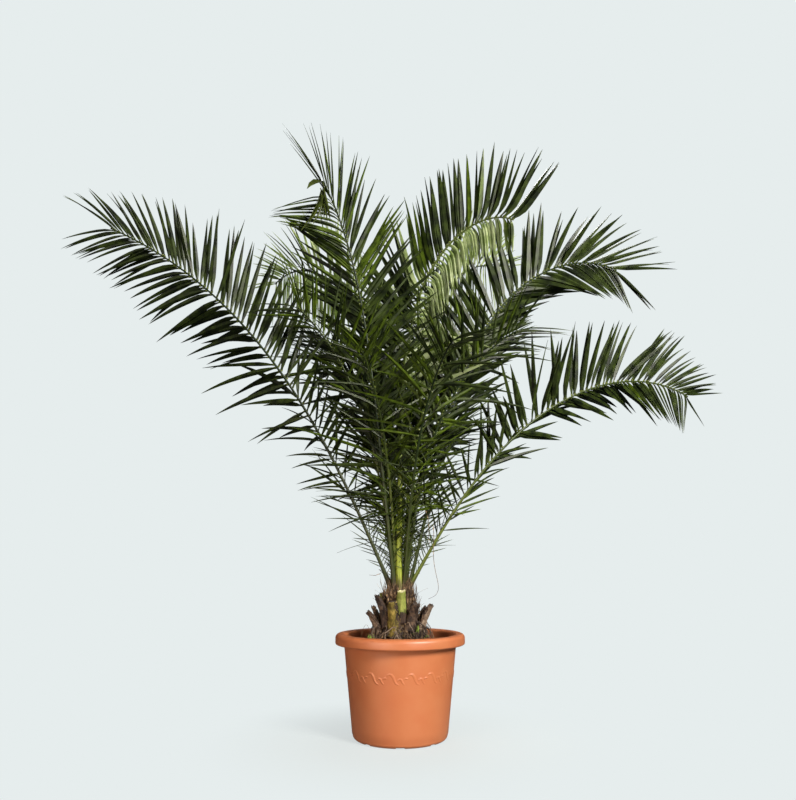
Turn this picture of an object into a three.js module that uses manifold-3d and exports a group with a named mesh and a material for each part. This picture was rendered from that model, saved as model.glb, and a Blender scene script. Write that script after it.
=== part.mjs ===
// Young date palm in a round planter: pot, potting soil, trunk with its cut leaf bases, and a
// fountain of feather fronds. Millimetres, +Z up, origin at the middle of the pot's underside.
// Headings are degrees in plan: 0 is +X, 90 is +Y, 180 is -X, 270 is -Y.
import * as THREE from 'three';
import { mergeVertices } from 'three/addons/utils/BufferGeometryUtils.js';
import Module from 'manifold-3d';

const wasm = await Module();
wasm.setup();

// ---- driving dimensions --------------------------------------------------------------------
const CLEARANCE = 0.3;            // gap between pieces that touch
const ROUND_SIDES = 36;           // facets round the pot, soil and rim
const FINEST_DETAIL = 0.12;       // slivers thinner than this are smoothed away after the cuts

const POT = {
  rimRadius: 200, rimHeight: 300, rimWidth: 32, rimDrop: 31, rimCorner: 9,
  footRadius: 143, footCorner: 13, neckRadius: 173, wall: 4, floor: 5,
  notchCount: 8, notchWidth: 26, notchHeight: 4.5, notchDepth: 7,
};
const SOIL_TOP = 270;             // potting soil stands this far above the floor the pot is on

const TRUNK = {
  footRadius: 62, waistRadius: 47, topRadius: 42, waist: 350, top: 436, sides: 18,
  topBevelWidth: 16, topBevelHeight: 12,
};

// Cut leaf bases climb the trunk in the palm's own spiral. Each was sawn off at its own length.
const LEAF_BASE_CUTS = [1, 1.12, 1, 1.1, 0.7, 0.8, 0.92, 1, 1, 0.6, 0.95, 1];
const LEAF_BASE = {
  firstHeading: 200, turn: 137.5, lowestFoot: 282, footRise: 5, length: 96,
  lean: 9, flare: 17, footWidth: 52, topWidth: 27, footThickness: 20, topThickness: 13,
  sunkIn: 4, edgeRise: 0.35, edgeThickness: 0.4, steps: 4,
};

// Every frond is a tapering rib that bends over, with a feathered blade on both sides of it.
const FROND = {
  ribWidth: 17, ribThickness: 13, ribTipWidth: 5, ribTipThickness: 3, ribTaper: 0.55,
  edgeThickness: 2, bladeStart: 0.2, bladeRise: 20, swayPower: 1.6,
  stations: 10, ribStations: 16, routeSteps: 240, splitGap: 0.4, tipStub: 0.002,
};
// Leaflets grow longer over the opening stretch of the blade, and shorter and closer to the rib
// over its closing stretch.
const LEAFLET = {
  tipAngle: 30, closeFrom: 0.5, closePower: 2,
  firstLength: 0.5, opening: 0.35, openPower: 1,
  shortenFrom: 0.7, shortening: 0.3, shortenPower: 1.5, rootStep: 0.01,
};
const RIB_GUARD = 1.2;            // a rib keeps this much of itself clear of its neighbours' cuts
const BLADE_GUARD = 0.8;          // and a blade keeps this far off the blade it crosses

// name, heading, sway of heading, lean at foot, bend to tip, how late it bends, length,
// roll at foot, roll at tip, leaflet length, leaflet angle, foot heading, foot radius,
// foot height, where it is split
const FRONDS = [
  ['left_long', 188, 0, 24, 44, 1.9, 1540, 62, 62, 270, 61, 188, 28, 435, 0.52],
  ['right_low', 4.5, 25, 30, 79, 1.76, 1430, -40, -60, 245, 64, 4.5, 28, 435, 0.6],
  ['right_high', 8, -25, 14, 114, 4.05, 1450, -45, -75, 270, 61, 8, 28, 435, 0.62],
  ['front_right', 335, -12, 0.8, 126, 4.46, 1410, -40, -85, 275, 70, 262, 28, 435, 0.66],
  ['front_left', 232, -3, 9.8, 33.6, 4.5, 1310, 20, 30, 255, 61, 232, 28, 435, 0.56],
  ['back_left', 145, -15, 6, 100, 2.9, 1600, 30, 50, 270, 61, 145, 20, 445, 0.6],
  ['back_right', 45, 5, 3, 85, 2.6, 1550, -20, -50, 270, 61, 45, 20, 445, 0.6],
  ['back_high', 95, 0, 5, 66, 2.4, 1420, 0, 15, 260, 61, 95, 16, 450, 0.56],
  ['back_mid', 118, 0, 14, 78, 2.0, 1350, 10, 15, 270, 61, 118, 28, 435, 0.56],
  ['back_deep', 98, 0, 21, 76, 1.8, 1300, 4, 6, 270, 61, 98, 28, 435, 0.54],
  ['back_low', 76, 0, 30, 80, 1.8, 1200, 0, -8, 270, 61, 76, 28, 435, 0.54],
  ['right_back', 56, 0, 13, 80, 2.0, 1400, -12, -20, 270, 61, 56, 28, 435, 0.56],
  ['front_short', 288, 0, 12, 62, 2.0, 850, -10, -10, 230, 61, 296, 28, 435, 0.56],
  ['front_inner', 250, 0, 8, 46, 2.0, 760, 8, 10, 220, 61, 235, 20, 445, 0.56],
  ['inner_left', 208, 0, 8, 46, 2.2, 960, 20, 30, 250, 61, 208, 20, 445, 0.54],
  ['inner_right', 335, 0, 8, 60, 2.2, 920, -20, -30, 250, 61, 335, 20, 445, 0.54],
].map(([name, heading, sway, lean, bend, curl, length, rollFoot, rollTip, leaflet, leafletAngle,
  footHeading, footRadius, footHeight, split]) => ({
  name, heading, sway, lean, bend, curl, length, rollFoot, rollTip, leaflet, leafletAngle,
  footHeading, footRadius, footHeight, split,
}));

const SPEAR = { height: 760, width: 24, tipWidth: 4, foot: 440, lean: 2 };

// ---- materials -----------------------------------------------------------------------------
function finish(color, roughness) {
  return new THREE.MeshStandardMaterial({ color, roughness, metalness: 0 });
}
const terracottaPlastic = finish('#c97044', 0.55);
const pottingSoil = finish('#3a2a1e', 0.95);
const trunkFibre = finish('#5d4630', 0.9);
const cutLeafBase = finish('#7d6a3c', 0.8);
const palmLeaf = finish('#3c5226', 0.5);

const palm = new THREE.Group();
function place(name, geometry, material) {
  const mesh = new THREE.Mesh(geometry, material);
  mesh.name = name;
  palm.add(mesh);
}

// ---- shapes --------------------------------------------------------------------------------
const rad = THREE.MathUtils.degToRad;
const lerp = THREE.MathUtils.lerp;

function solidOf(geometry) {
  const bare = geometry.index ? geometry.clone() : geometry;
  bare.deleteAttribute('normal');
  bare.deleteAttribute('uv');
  const merged = mergeVertices(bare, 1e-4);
  return new wasm.Manifold(new wasm.Mesh({
    numProp: 3,
    vertProperties: new Float32Array(merged.attributes.position.array),
    triVerts: new Uint32Array(merged.index.array),
  }));
}

function geometryOf(solid) {
  const mesh = solid.getMesh();
  const geometry = new THREE.BufferGeometry();
  geometry.setAttribute('position', new THREE.BufferAttribute(mesh.vertProperties, 3));
  geometry.setIndex(new THREE.BufferAttribute(mesh.triVerts, 1));
  return geometry;
}

function largestPiece(solid) {
  return solid.simplify(FINEST_DETAIL).decompose()
    .reduce((best, piece) => (piece.volume() > best.volume() ? piece : best));
}

// A profile of [radius, height] points turned about +Z; it starts and ends on the axis.
function turned(profile, sides) {
  const points = profile.map(([radius, height]) => new THREE.Vector2(radius, height));
  const geometry = new THREE.LatheGeometry(points, sides);
  geometry.rotateX(Math.PI / 2);
  return geometry;
}

// Rings of six points, left edge, top, right edge and underside, joined into one closed body.
// The top and the underside are cut into triangles alike, so that a thin twisted blade stays whole.
function lofted(rings) {
  const positions = rings.flat().flatMap((point) => point.toArray());
  const index = [];
  for (let ring = 0; ring + 1 < rings.length; ring += 1) {
    for (let side = 0; side < 6; side += 1) {
      const a = ring * 6 + side;
      const b = ring * 6 + ((side + 1) % 6);
      if (side === 2 || side === 5) {
        index.push(a, b, a + 6, b, b + 6, a + 6);
      } else {
        index.push(a, b, b + 6, a, b + 6, a + 6);
      }
    }
  }
  const last = (rings.length - 1) * 6;
  for (const [a, b, c] of [[0, 1, 2], [0, 2, 5], [5, 2, 3], [5, 3, 4]]) {
    index.push(a, c, b, last + a, last + b, last + c);
  }
  const geometry = new THREE.BufferGeometry();
  geometry.setAttribute('position', new THREE.Float32BufferAttribute(positions, 3));
  geometry.setIndex(index);
  return geometry;
}

// One ring about a point: half the span, how far its edges rise, and its half thicknesses.
function ringAt(spot, halfSpan, rise, middle, edge) {
  const across = (amount, up) => spot.point.clone()
    .addScaledVector(spot.side, amount)
    .addScaledVector(spot.upper, up);
  return [
    across(halfSpan, rise - edge), across(halfSpan, rise + edge), across(0, middle),
    across(-halfSpan, rise + edge), across(-halfSpan, rise - edge), across(0, -middle),
  ];
}

// ---- pot and soil --------------------------------------------------------------------------
function corner(centreRadius, centreHeight, radius, from, to, steps) {
  return Array.from({ length: steps + 1 }, (_, step) => {
    const angle = rad(lerp(from, to, step / steps));
    return [centreRadius + radius * Math.cos(angle), centreHeight + radius * Math.sin(angle)];
  });
}

function potWallRadius(height) {
  return lerp(POT.footRadius, POT.neckRadius, height / (POT.rimHeight - POT.rimDrop));
}

function potInsideRadius(height) {
  return potWallRadius(height) - POT.wall;
}

function pot() {
  const { rimRadius, rimHeight, rimWidth, rimDrop, rimCorner, footCorner } = POT;
  const rimFoot = rimHeight - rimDrop;
  const profile = [
    [0, 0],
    ...corner(POT.footRadius - footCorner, footCorner, footCorner, -90, 0, 3),
    [POT.neckRadius, rimFoot],
    ...corner(rimRadius - rimCorner / 2, rimFoot + rimCorner / 2, rimCorner / 2, -90, 0, 1),
    ...corner(rimRadius - rimCorner, rimHeight - rimCorner, rimCorner, 0, 90, 2),
    ...corner(rimRadius - rimWidth + rimCorner, rimHeight - rimCorner, rimCorner, 90, 180, 2),
    [potInsideRadius(rimFoot), rimFoot - 4],
    [potInsideRadius(POT.floor), POT.floor],
    [0, POT.floor],
  ];
  let body = solidOf(turned(profile, ROUND_SIDES));
  for (let notch = 0; notch < POT.notchCount; notch += 1) {
    const heading = rad(270 + (360 / POT.notchCount) * notch);
    const block = new THREE.BoxGeometry(4 * POT.notchDepth, POT.notchWidth, 2 * POT.notchHeight);
    block.translate(POT.footRadius + POT.notchDepth, 0, 0);
    block.rotateZ(heading);
    body = body.subtract(solidOf(block));
  }
  return geometryOf(body);
}

function soil() {
  const foot = POT.floor + CLEARANCE;
  return turned([
    [0, foot],
    [potInsideRadius(foot) - CLEARANCE, foot],
    [potInsideRadius(SOIL_TOP) - 2 * CLEARANCE - 2, SOIL_TOP],
    [0, SOIL_TOP],
  ], ROUND_SIDES);
}

// ---- trunk and leaf bases ------------------------------------------------------------------
function trunkRadius(height) {
  const foot = SOIL_TOP + CLEARANCE;
  if (height < TRUNK.waist) {
    return lerp(TRUNK.footRadius, TRUNK.waistRadius, (height - foot) / (TRUNK.waist - foot));
  }
  return lerp(TRUNK.waistRadius, TRUNK.topRadius, (height - TRUNK.waist) / (TRUNK.top - TRUNK.waist));
}

function trunk(grow = 0) {
  const foot = SOIL_TOP + CLEARANCE;
  return turned([
    [0, foot - grow],
    [trunkRadius(foot) + grow, foot - grow],
    [trunkRadius(TRUNK.waist) + grow, TRUNK.waist],
    [trunkRadius(TRUNK.top) + grow, TRUNK.top - TRUNK.topBevelHeight + grow],
    [trunkRadius(TRUNK.top) - TRUNK.topBevelWidth + grow, TRUNK.top + grow],
    [0, TRUNK.top + grow],
  ], TRUNK.sides);
}

function leafBase(order, grow = 0) {
  const heading = rad(LEAF_BASE.firstHeading + LEAF_BASE.turn * order);
  const outward = new THREE.Vector3(Math.cos(heading), Math.sin(heading), 0);
  const side = new THREE.Vector3(-Math.sin(heading), Math.cos(heading), 0);
  const foot = LEAF_BASE.lowestFoot + LEAF_BASE.footRise * order;
  const length = LEAF_BASE.length * LEAF_BASE_CUTS[order];
  const { steps } = LEAF_BASE;
  const rings = [];
  let radius = trunkRadius(foot) + LEAF_BASE.footThickness / 2 - LEAF_BASE.sunkIn;
  let height = foot;
  for (let step = 0; step <= steps; step += 1) {
    const along = step / steps;
    const lean = rad(LEAF_BASE.lean + LEAF_BASE.flare * along);
    const point = outward.clone().multiplyScalar(radius);
    point.z = height;
    const direction = outward.clone().multiplyScalar(Math.sin(lean));
    direction.z = Math.cos(lean);
    const upper = direction.clone().cross(side);
    const width = lerp(LEAF_BASE.footWidth, LEAF_BASE.topWidth, along) / 2 + grow;
    const thickness = lerp(LEAF_BASE.footThickness, LEAF_BASE.topThickness, along) / 2 + grow;
    const rise = thickness * LEAF_BASE.edgeRise;
    rings.push(ringAt({ point, side, upper }, width, rise, thickness, thickness * LEAF_BASE.edgeThickness));
    radius += Math.sin(lean) * (length / steps);
    height += Math.cos(lean) * (length / steps);
  }
  return lofted(rings);
}

// ---- fronds --------------------------------------------------------------------------------
// Where the rib is, at a share of its length that may run past the tip, and how it faces there.
function ribPlaces(frond, shares) {
  const places = [];
  const point = new THREE.Vector3(
    frond.footRadius * Math.cos(rad(frond.footHeading)),
    frond.footRadius * Math.sin(rad(frond.footHeading)),
    frond.footHeight,
  );
  let reached = 0;
  for (const share of shares) {
    while (reached < share - 1e-9) {
      const step = Math.min(1 / FROND.routeSteps, share - reached);
      point.addScaledVector(ribFacing(frond, reached + step / 2).ahead, step * frond.length);
      reached += step;
    }
    places.push({ share, point: point.clone(), ...ribFacing(frond, share) });
  }
  return places;
}

function ribFacing(frond, share) {
  const held = Math.min(share, 1);
  const heading = rad(frond.heading + frond.sway * held ** FROND.swayPower);
  const lean = rad(frond.lean + frond.bend * held ** frond.curl);
  const roll = rad(lerp(frond.rollFoot, frond.rollTip, held));
  const ahead = new THREE.Vector3(
    Math.sin(lean) * Math.cos(heading),
    Math.sin(lean) * Math.sin(heading),
    Math.cos(lean),
  );
  const level = new THREE.Vector3(-Math.sin(heading), Math.cos(heading), 0);
  const above = ahead.clone().cross(level);
  const side = level.clone().multiplyScalar(Math.cos(roll)).addScaledVector(above, Math.sin(roll));
  const upper = above.multiplyScalar(Math.cos(roll)).addScaledVector(level, -Math.sin(roll));
  return { ahead, side, upper };
}

function leafletAngle(frond, share) {
  const along = Math.max(0, (share - LEAFLET.closeFrom) / (1 - LEAFLET.closeFrom));
  return rad(lerp(frond.leafletAngle, LEAFLET.tipAngle, Math.min(1, along) ** LEAFLET.closePower));
}

function leafletLength(frond, share) {
  const opening = Math.min(1, (share - FROND.bladeStart) / LEAFLET.opening);
  const closing = Math.max(0, (share - LEAFLET.shortenFrom) / (1 - LEAFLET.shortenFrom));
  return frond.leaflet * lerp(LEAFLET.firstLength, 1, opening ** LEAFLET.openPower)
    * (1 - LEAFLET.shortening * closing ** LEAFLET.shortenPower);
}

// The leaflets lean forward, so the blade's edge at a share is the furthest leaflet crossing it.
function bladeReach(frond, share) {
  let reach = 0;
  for (let root = FROND.bladeStart; root < 1 + LEAFLET.rootStep / 2; root += LEAFLET.rootStep) {
    const angle = leafletAngle(frond, root);
    const length = leafletLength(frond, root);
    const forward = (share - root) * frond.length;
    if (forward >= 0 && forward <= length * Math.cos(angle)) {
      reach = Math.max(reach, forward * Math.tan(angle));
    }
  }
  return reach;
}

function bladeEnd(frond) {
  return 1 + (leafletLength(frond, 1) * Math.cos(leafletAngle(frond, 1))) / frond.length;
}

function ribHalf(share) {
  const taper = Math.min(1, share) ** FROND.ribTaper;
  return {
    width: lerp(FROND.ribWidth, FROND.ribTipWidth, taper) / 2,
    thickness: lerp(FROND.ribThickness, FROND.ribTipThickness, taper) / 2,
  };
}

function evenly(from, to, count) {
  return Array.from({ length: count }, (_, step) => lerp(from, to, step / (count - 1)));
}

// The whole blade between two shares; grow makes it fatter, to cut its neighbours clear of it.
function blade(frond, from, to, grow = 0) {
  const count = Math.max(4, Math.round(FROND.stations * (to - from)) + 2);
  const rise = Math.tan(rad(FROND.bladeRise));
  const rings = ribPlaces(frond, evenly(from, to, count)).map((spot) => {
    const rib = ribHalf(spot.share);
    const reach = bladeReach(frond, spot.share) * Math.cos(rad(FROND.bladeRise));
    const span = Math.max(rib.width, reach) + grow * 2;
    const lift = reach > rib.width ? reach * rise : 0;
    const edge = reach > rib.width ? FROND.edgeThickness / 2 : rib.thickness * 0.5;
    return ringAt(spot, span, lift, rib.thickness + grow, edge + grow);
  });
  return solidOf(lofted(rings));
}

function ribOnly(frond, grow) {
  const rings = ribPlaces(frond, evenly(0, 1, FROND.ribStations)).map((spot) => {
    const rib = ribHalf(spot.share);
    return ringAt(spot, rib.width + grow, 0, rib.thickness + grow, rib.thickness * 0.6 + grow);
  });
  return solidOf(lofted(rings));
}

// ---- the palm, put together ----------------------------------------------------------------
place('pot', pot(), terracottaPlastic);
place('potting_soil', soil(), pottingSoil);

const crownCut = solidOf(trunk(CLEARANCE));
place('trunk', trunk(), trunkFibre);

const fattened = [crownCut];
for (let order = LEAF_BASE_CUTS.length - 1; order >= 0; order -= 1) {
  let body = solidOf(leafBase(order));
  for (const cutter of fattened) {
    body = body.subtract(cutter);
  }
  fattened.push(solidOf(leafBase(order, CLEARANCE * 1.5)));
  place(`leaf_base_${String(order + 1).padStart(2, '0')}`, geometryOf(largestPiece(body)), cutLeafBase);
}

function spear() {
  const lean = rad(SPEAR.lean);
  const ahead = new THREE.Vector3(0, Math.sin(lean), Math.cos(lean));
  const side = new THREE.Vector3(1, 0, 0);
  const upper = side.clone().cross(ahead).negate();
  const rings = evenly(0, 1, 6).map((along) => {
    const half = lerp(SPEAR.width, SPEAR.tipWidth, along ** 2) / 2;
    const point = new THREE.Vector3(0, 0, SPEAR.foot).addScaledVector(ahead, SPEAR.height * along);
    return ringAt({ point, side, upper }, half, 0, half, half * 0.5);
  });
  return solidOf(lofted(rings));
}

// The frond in its two solids, split at the bend.
function halves(frond, grow = 0) {
  const gap = FROND.splitGap / 2 / frond.length;
  return [
    blade(frond, 0, frond.split - gap, grow),
    blade(frond, frond.split + gap, bladeEnd(frond) - FROND.tipStub, grow),
  ];
}

const fatRibs = FRONDS.map((frond) => ribOnly(frond, 2 * RIB_GUARD));
const keptRibs = FRONDS.map((frond) => ribOnly(frond, RIB_GUARD));
const fatBlades = FRONDS.map((frond) => halves(frond, BLADE_GUARD)
  .reduce((both, half) => both.add(half)));

function trimmed(own, body) {
  let left = body;
  for (const cutter of fattened) {
    left = left.subtract(cutter);
  }
  FRONDS.forEach((_, other) => {
    if (other < own) {
      left = left.subtract(fatRibs[other]);
      left = left.subtract(fatBlades[other].subtract(keptRibs[own]));
    } else if (other > own) {
      left = left.subtract(fatRibs[other].subtract(keptRibs[own]));
    }
  });
  return largestPiece(left);
}

FRONDS.forEach((frond, own) => {
  const [lower, upper] = halves(frond);
  place(`frond_${frond.name}_lower`, geometryOf(trimmed(own, lower)), palmLeaf);
  place(`frond_${frond.name}_upper`, geometryOf(trimmed(own, upper)), palmLeaf);
});

let spearLeaf = spear().subtract(crownCut);
for (let other = 0; other < FRONDS.length; other += 1) {
  spearLeaf = spearLeaf.subtract(fatRibs[other]).subtract(fatBlades[other]);
}
place('spear_leaf', geometryOf(largestPiece(spearLeaf)), palmLeaf);

export default palm;
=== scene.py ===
import math
from collections import namedtuple

import bpy
import numpy as np
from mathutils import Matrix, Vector


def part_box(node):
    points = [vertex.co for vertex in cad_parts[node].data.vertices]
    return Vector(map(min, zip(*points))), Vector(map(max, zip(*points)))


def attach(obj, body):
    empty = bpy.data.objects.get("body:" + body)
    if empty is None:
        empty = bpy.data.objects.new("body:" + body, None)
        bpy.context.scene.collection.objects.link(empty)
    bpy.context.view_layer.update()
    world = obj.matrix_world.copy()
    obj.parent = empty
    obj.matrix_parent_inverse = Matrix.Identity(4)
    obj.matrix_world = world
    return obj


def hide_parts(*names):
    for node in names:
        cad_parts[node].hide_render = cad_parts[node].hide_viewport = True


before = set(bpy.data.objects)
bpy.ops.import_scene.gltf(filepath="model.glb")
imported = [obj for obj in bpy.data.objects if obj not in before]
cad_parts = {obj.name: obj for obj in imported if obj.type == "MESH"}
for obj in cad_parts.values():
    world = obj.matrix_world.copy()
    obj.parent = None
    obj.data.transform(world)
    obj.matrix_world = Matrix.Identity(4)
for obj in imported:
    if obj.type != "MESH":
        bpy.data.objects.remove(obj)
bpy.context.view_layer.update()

# ---- Planter -------------------------------------------------------------------------------
# A round planter of terracotta-coloured polypropylene, injection moulded in one piece: tapered
# wall, thick rolled rim, a scroll border in low relief round its waist, and drain notches.
MM = 0.001
RIM_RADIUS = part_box("pot")[1].x
RIM_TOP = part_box("pot")[1].z
RIM_WIDTH = 32 * MM
RIM_DROP = 31 * MM
RIM_CREST_ROUNDING = 12 * MM
RIM_EDGE_ROUNDING = 5 * MM
RIM_INNER_ROUNDING = 9 * MM
FOOT_RADIUS = 143 * MM
FOOT_ROUNDING = 13 * MM
FOOT_RING = 20 * MM
NECK_RADIUS = 173 * MM
POT_WALL = 4 * MM
POT_FLOOR = 5 * MM
POT_COLUMNS = 768
BORDER_HEIGHT = 187 * MM
BORDER_HALF = 21 * MM
SCROLLS = 17
SCROLL_RELIEF = 1.1 * MM
SCROLL_TURN = 0.335
# each leaf of the scroll: places along one repeat and up from the border's middle, and half widths
SCROLL_LEAVES_MM = [
    [(2, 12, 0.8), (8, 15.5, 1.8), (15, 14, 2.8), (20, 7, 3.2), (23, -2, 2.8), (27, -9, 2.0), (34, -13, 0.8)],
    [(33, -1, 0.8), (38, 3, 1.8), (43, 1, 2.5), (46, -6, 2.0), (51, -12, 0.8)],
    [(50, 2, 0.8), (55, 5, 1.4), (60, 4, 0.8)],
]
NOTCHES = 8
NOTCH_WIDTH = 26 * MM
NOTCH_HEIGHT = 4.5 * MM


def linear(hex_colour):
    """An sRGB hex colour as the linear red, green, blue and alpha that a shader takes."""
    parts = [int(hex_colour[place:place + 2], 16) / 255 for place in (1, 3, 5)]
    return [part / 12.92 if part <= 0.04045 else ((part + 0.055) / 1.055) ** 2.4 for part in parts] + [1]


def add_node(tree, kind, settings=None, links=None, stops=None):
    """Adds a node. Settings go to its properties and sockets, links bring in other nodes' outputs,
    and stops are the places and hex colours of a colour ramp."""
    node = tree.nodes.new(kind)
    for key, value in (settings or {}).items():
        if isinstance(key, str) and hasattr(node, key):
            setattr(node, key, value)
        else:
            node.inputs[key].default_value = value
    for key, source in (links or {}).items():
        output = source if isinstance(source, bpy.types.NodeSocket) else source.outputs[0]
        tree.links.new(output, node.inputs[key])
    for order, (place, colour) in enumerate(stops or []):
        elements = node.color_ramp.elements
        element = elements[order] if order < 2 else elements.new(place)
        element.position = place
        element.color = linear(colour)
    return node


def new_material(name):
    """An empty node material, its node tree, and the socket that gives a point's place in metres."""
    material = bpy.data.materials.new(name)
    material.use_nodes = True
    tree = material.node_tree
    tree.nodes.clear()
    return material, tree, add_node(tree, "ShaderNodeTexCoord").outputs["Object"]


def finish_surface(tree, tones, stops, gloss, relief=None, depth=None):
    """Ends a material's nodes. One pattern picks its tones from the stops, and another may stand out
    in relief. gloss holds the settings of its shader, and depth those of the relief."""
    links = {"Base Color": add_node(tree, "ShaderNodeValToRGB", None, {"Fac": tones}, stops)}
    if relief is not None:
        links["Normal"] = add_node(tree, "ShaderNodeBump", depth, {"Height": relief})
    shader = add_node(tree, "ShaderNodeBsdfPrincipled", gloss, links)
    add_node(tree, "ShaderNodeOutputMaterial", None, {"Surface": shader})


def moulded_polypropylene():
    """Polypropylene from a satin steel mould: an even terracotta colour, faintly clouded, whose
    fine mould grain gives a broad soft sheen rather than a gloss."""
    material, tree, place = new_material("moulded_polypropylene")
    cloud = add_node(tree, "ShaderNodeTexNoise", {"Scale": 1 / (60 * MM), "Detail": 2.0}, {"Vector": place})
    mould_grain = add_node(tree, "ShaderNodeTexNoise", {"Scale": 1 / (0.8 * MM)}, {"Vector": place})
    tones = [(0.3, "#b86b43"), (0.7, "#bc734a"), (0.5, "#ba6f46")]
    grain_depth = {"Strength": 0.35, "Distance": 0.05 * MM}
    finish_surface(tree, cloud, tones, {"Roughness": 0.41, "IOR": 1.58}, mould_grain, grain_depth)
    return material


def make_piece(name, points, face_blocks, materials, slots=None, smooth=True):
    """A mesh object from its points and blocks of faces, each block an array of like faces."""
    points = np.asarray(points, np.float32).reshape(-1, 3)
    blocks = [np.asarray(block) for block in face_blocks]
    corners = np.concatenate([block.ravel() for block in blocks])
    counts = np.concatenate([np.full(len(block), block.shape[1]) for block in blocks])
    mesh = bpy.data.meshes.new(name)
    mesh.vertices.add(len(points))
    mesh.vertices.foreach_set("co", points.ravel())
    mesh.loops.add(len(corners))
    mesh.loops.foreach_set("vertex_index", corners.astype(np.int32))
    mesh.polygons.add(len(counts))
    mesh.polygons.foreach_set("loop_start", (np.cumsum(counts) - counts).astype(np.int32))
    for material in materials:
        mesh.materials.append(material)
    if slots is not None:
        mesh.polygons.foreach_set("material_index", np.asarray(slots, np.int32))
    mesh.update(calc_edges=True)
    mesh.polygons.foreach_set("use_smooth", np.full(len(counts), smooth))
    piece = bpy.data.objects.new(name, mesh)
    bpy.context.scene.collection.objects.link(piece)
    return piece


def tube_faces(rows, columns, count=1):
    """Faces of so many closed tubes, each of rows of points that are rings of so many columns: all
    quads of their sides, and then a face over each tube's first and last ring."""
    row = np.arange(rows - 1)[:, None] * columns
    column = np.arange(columns)
    after = (column + 1) % columns
    sides = np.stack([row + column, row + after, row + columns + after, row + columns + column], -1)
    ends = np.stack([column[::-1], (rows - 1) * columns + column])
    start = rows * columns * np.arange(count)[:, None, None]
    return [(sides.reshape(-1, 4) + start).reshape(-1, 4), (ends + start).reshape(-1, columns)]


def full_turn(steps):
    """Angles in even steps once round."""
    return np.linspace(0, 2 * math.pi, steps, endpoint=False)


def round_axis(radius, heading, height):
    """Points at a radius and a heading from the plant's upright axis, at a height."""
    return np.stack(np.broadcast_arrays(radius * np.cos(heading), radius * np.sin(heading), height), -1)


def arc(centre_radius, centre_height, radius, start, end, steps):
    """Profile points on an arc, from one angle to another in degrees, 0 being level outwards."""
    angles = np.radians(np.linspace(start, end, steps + 1))
    return [(centre_radius + radius * math.cos(a), centre_height + radius * math.sin(a)) for a in angles]


def wall_radius(height):
    """Outer radius of the planter's tapered wall."""
    return FOOT_RADIUS + (NECK_RADIUS - FOOT_RADIUS) * height / (RIM_TOP - RIM_DROP)


def scroll_relief(along, up):
    """How far the border stands out, from 0 to 1, at millimetres along a repeat and up its middle."""
    repeat = 2 * math.pi * wall_radius(BORDER_HEIGHT) / MM / SCROLLS
    soft_edge = 1.2
    discs_a_leaf = 34
    relief = np.zeros_like(along)
    for leaf in SCROLL_LEAVES_MM:
        knots = np.arange(len(leaf))
        discs = np.linspace(0, len(leaf) - 1, discs_a_leaf)
        x, y, half = (np.interp(discs, knots, values) for values in zip(*leaf))
        for shift in (-repeat, 0, repeat):
            away = np.hypot(along[..., None] - x - shift, up[..., None] - y)
            inside = np.clip((half + soft_edge - away) / (2 * soft_edge), 0, 1)
            relief = np.maximum(relief, (inside * inside * (3 - 2 * inside)).max(-1))
    return relief


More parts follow.
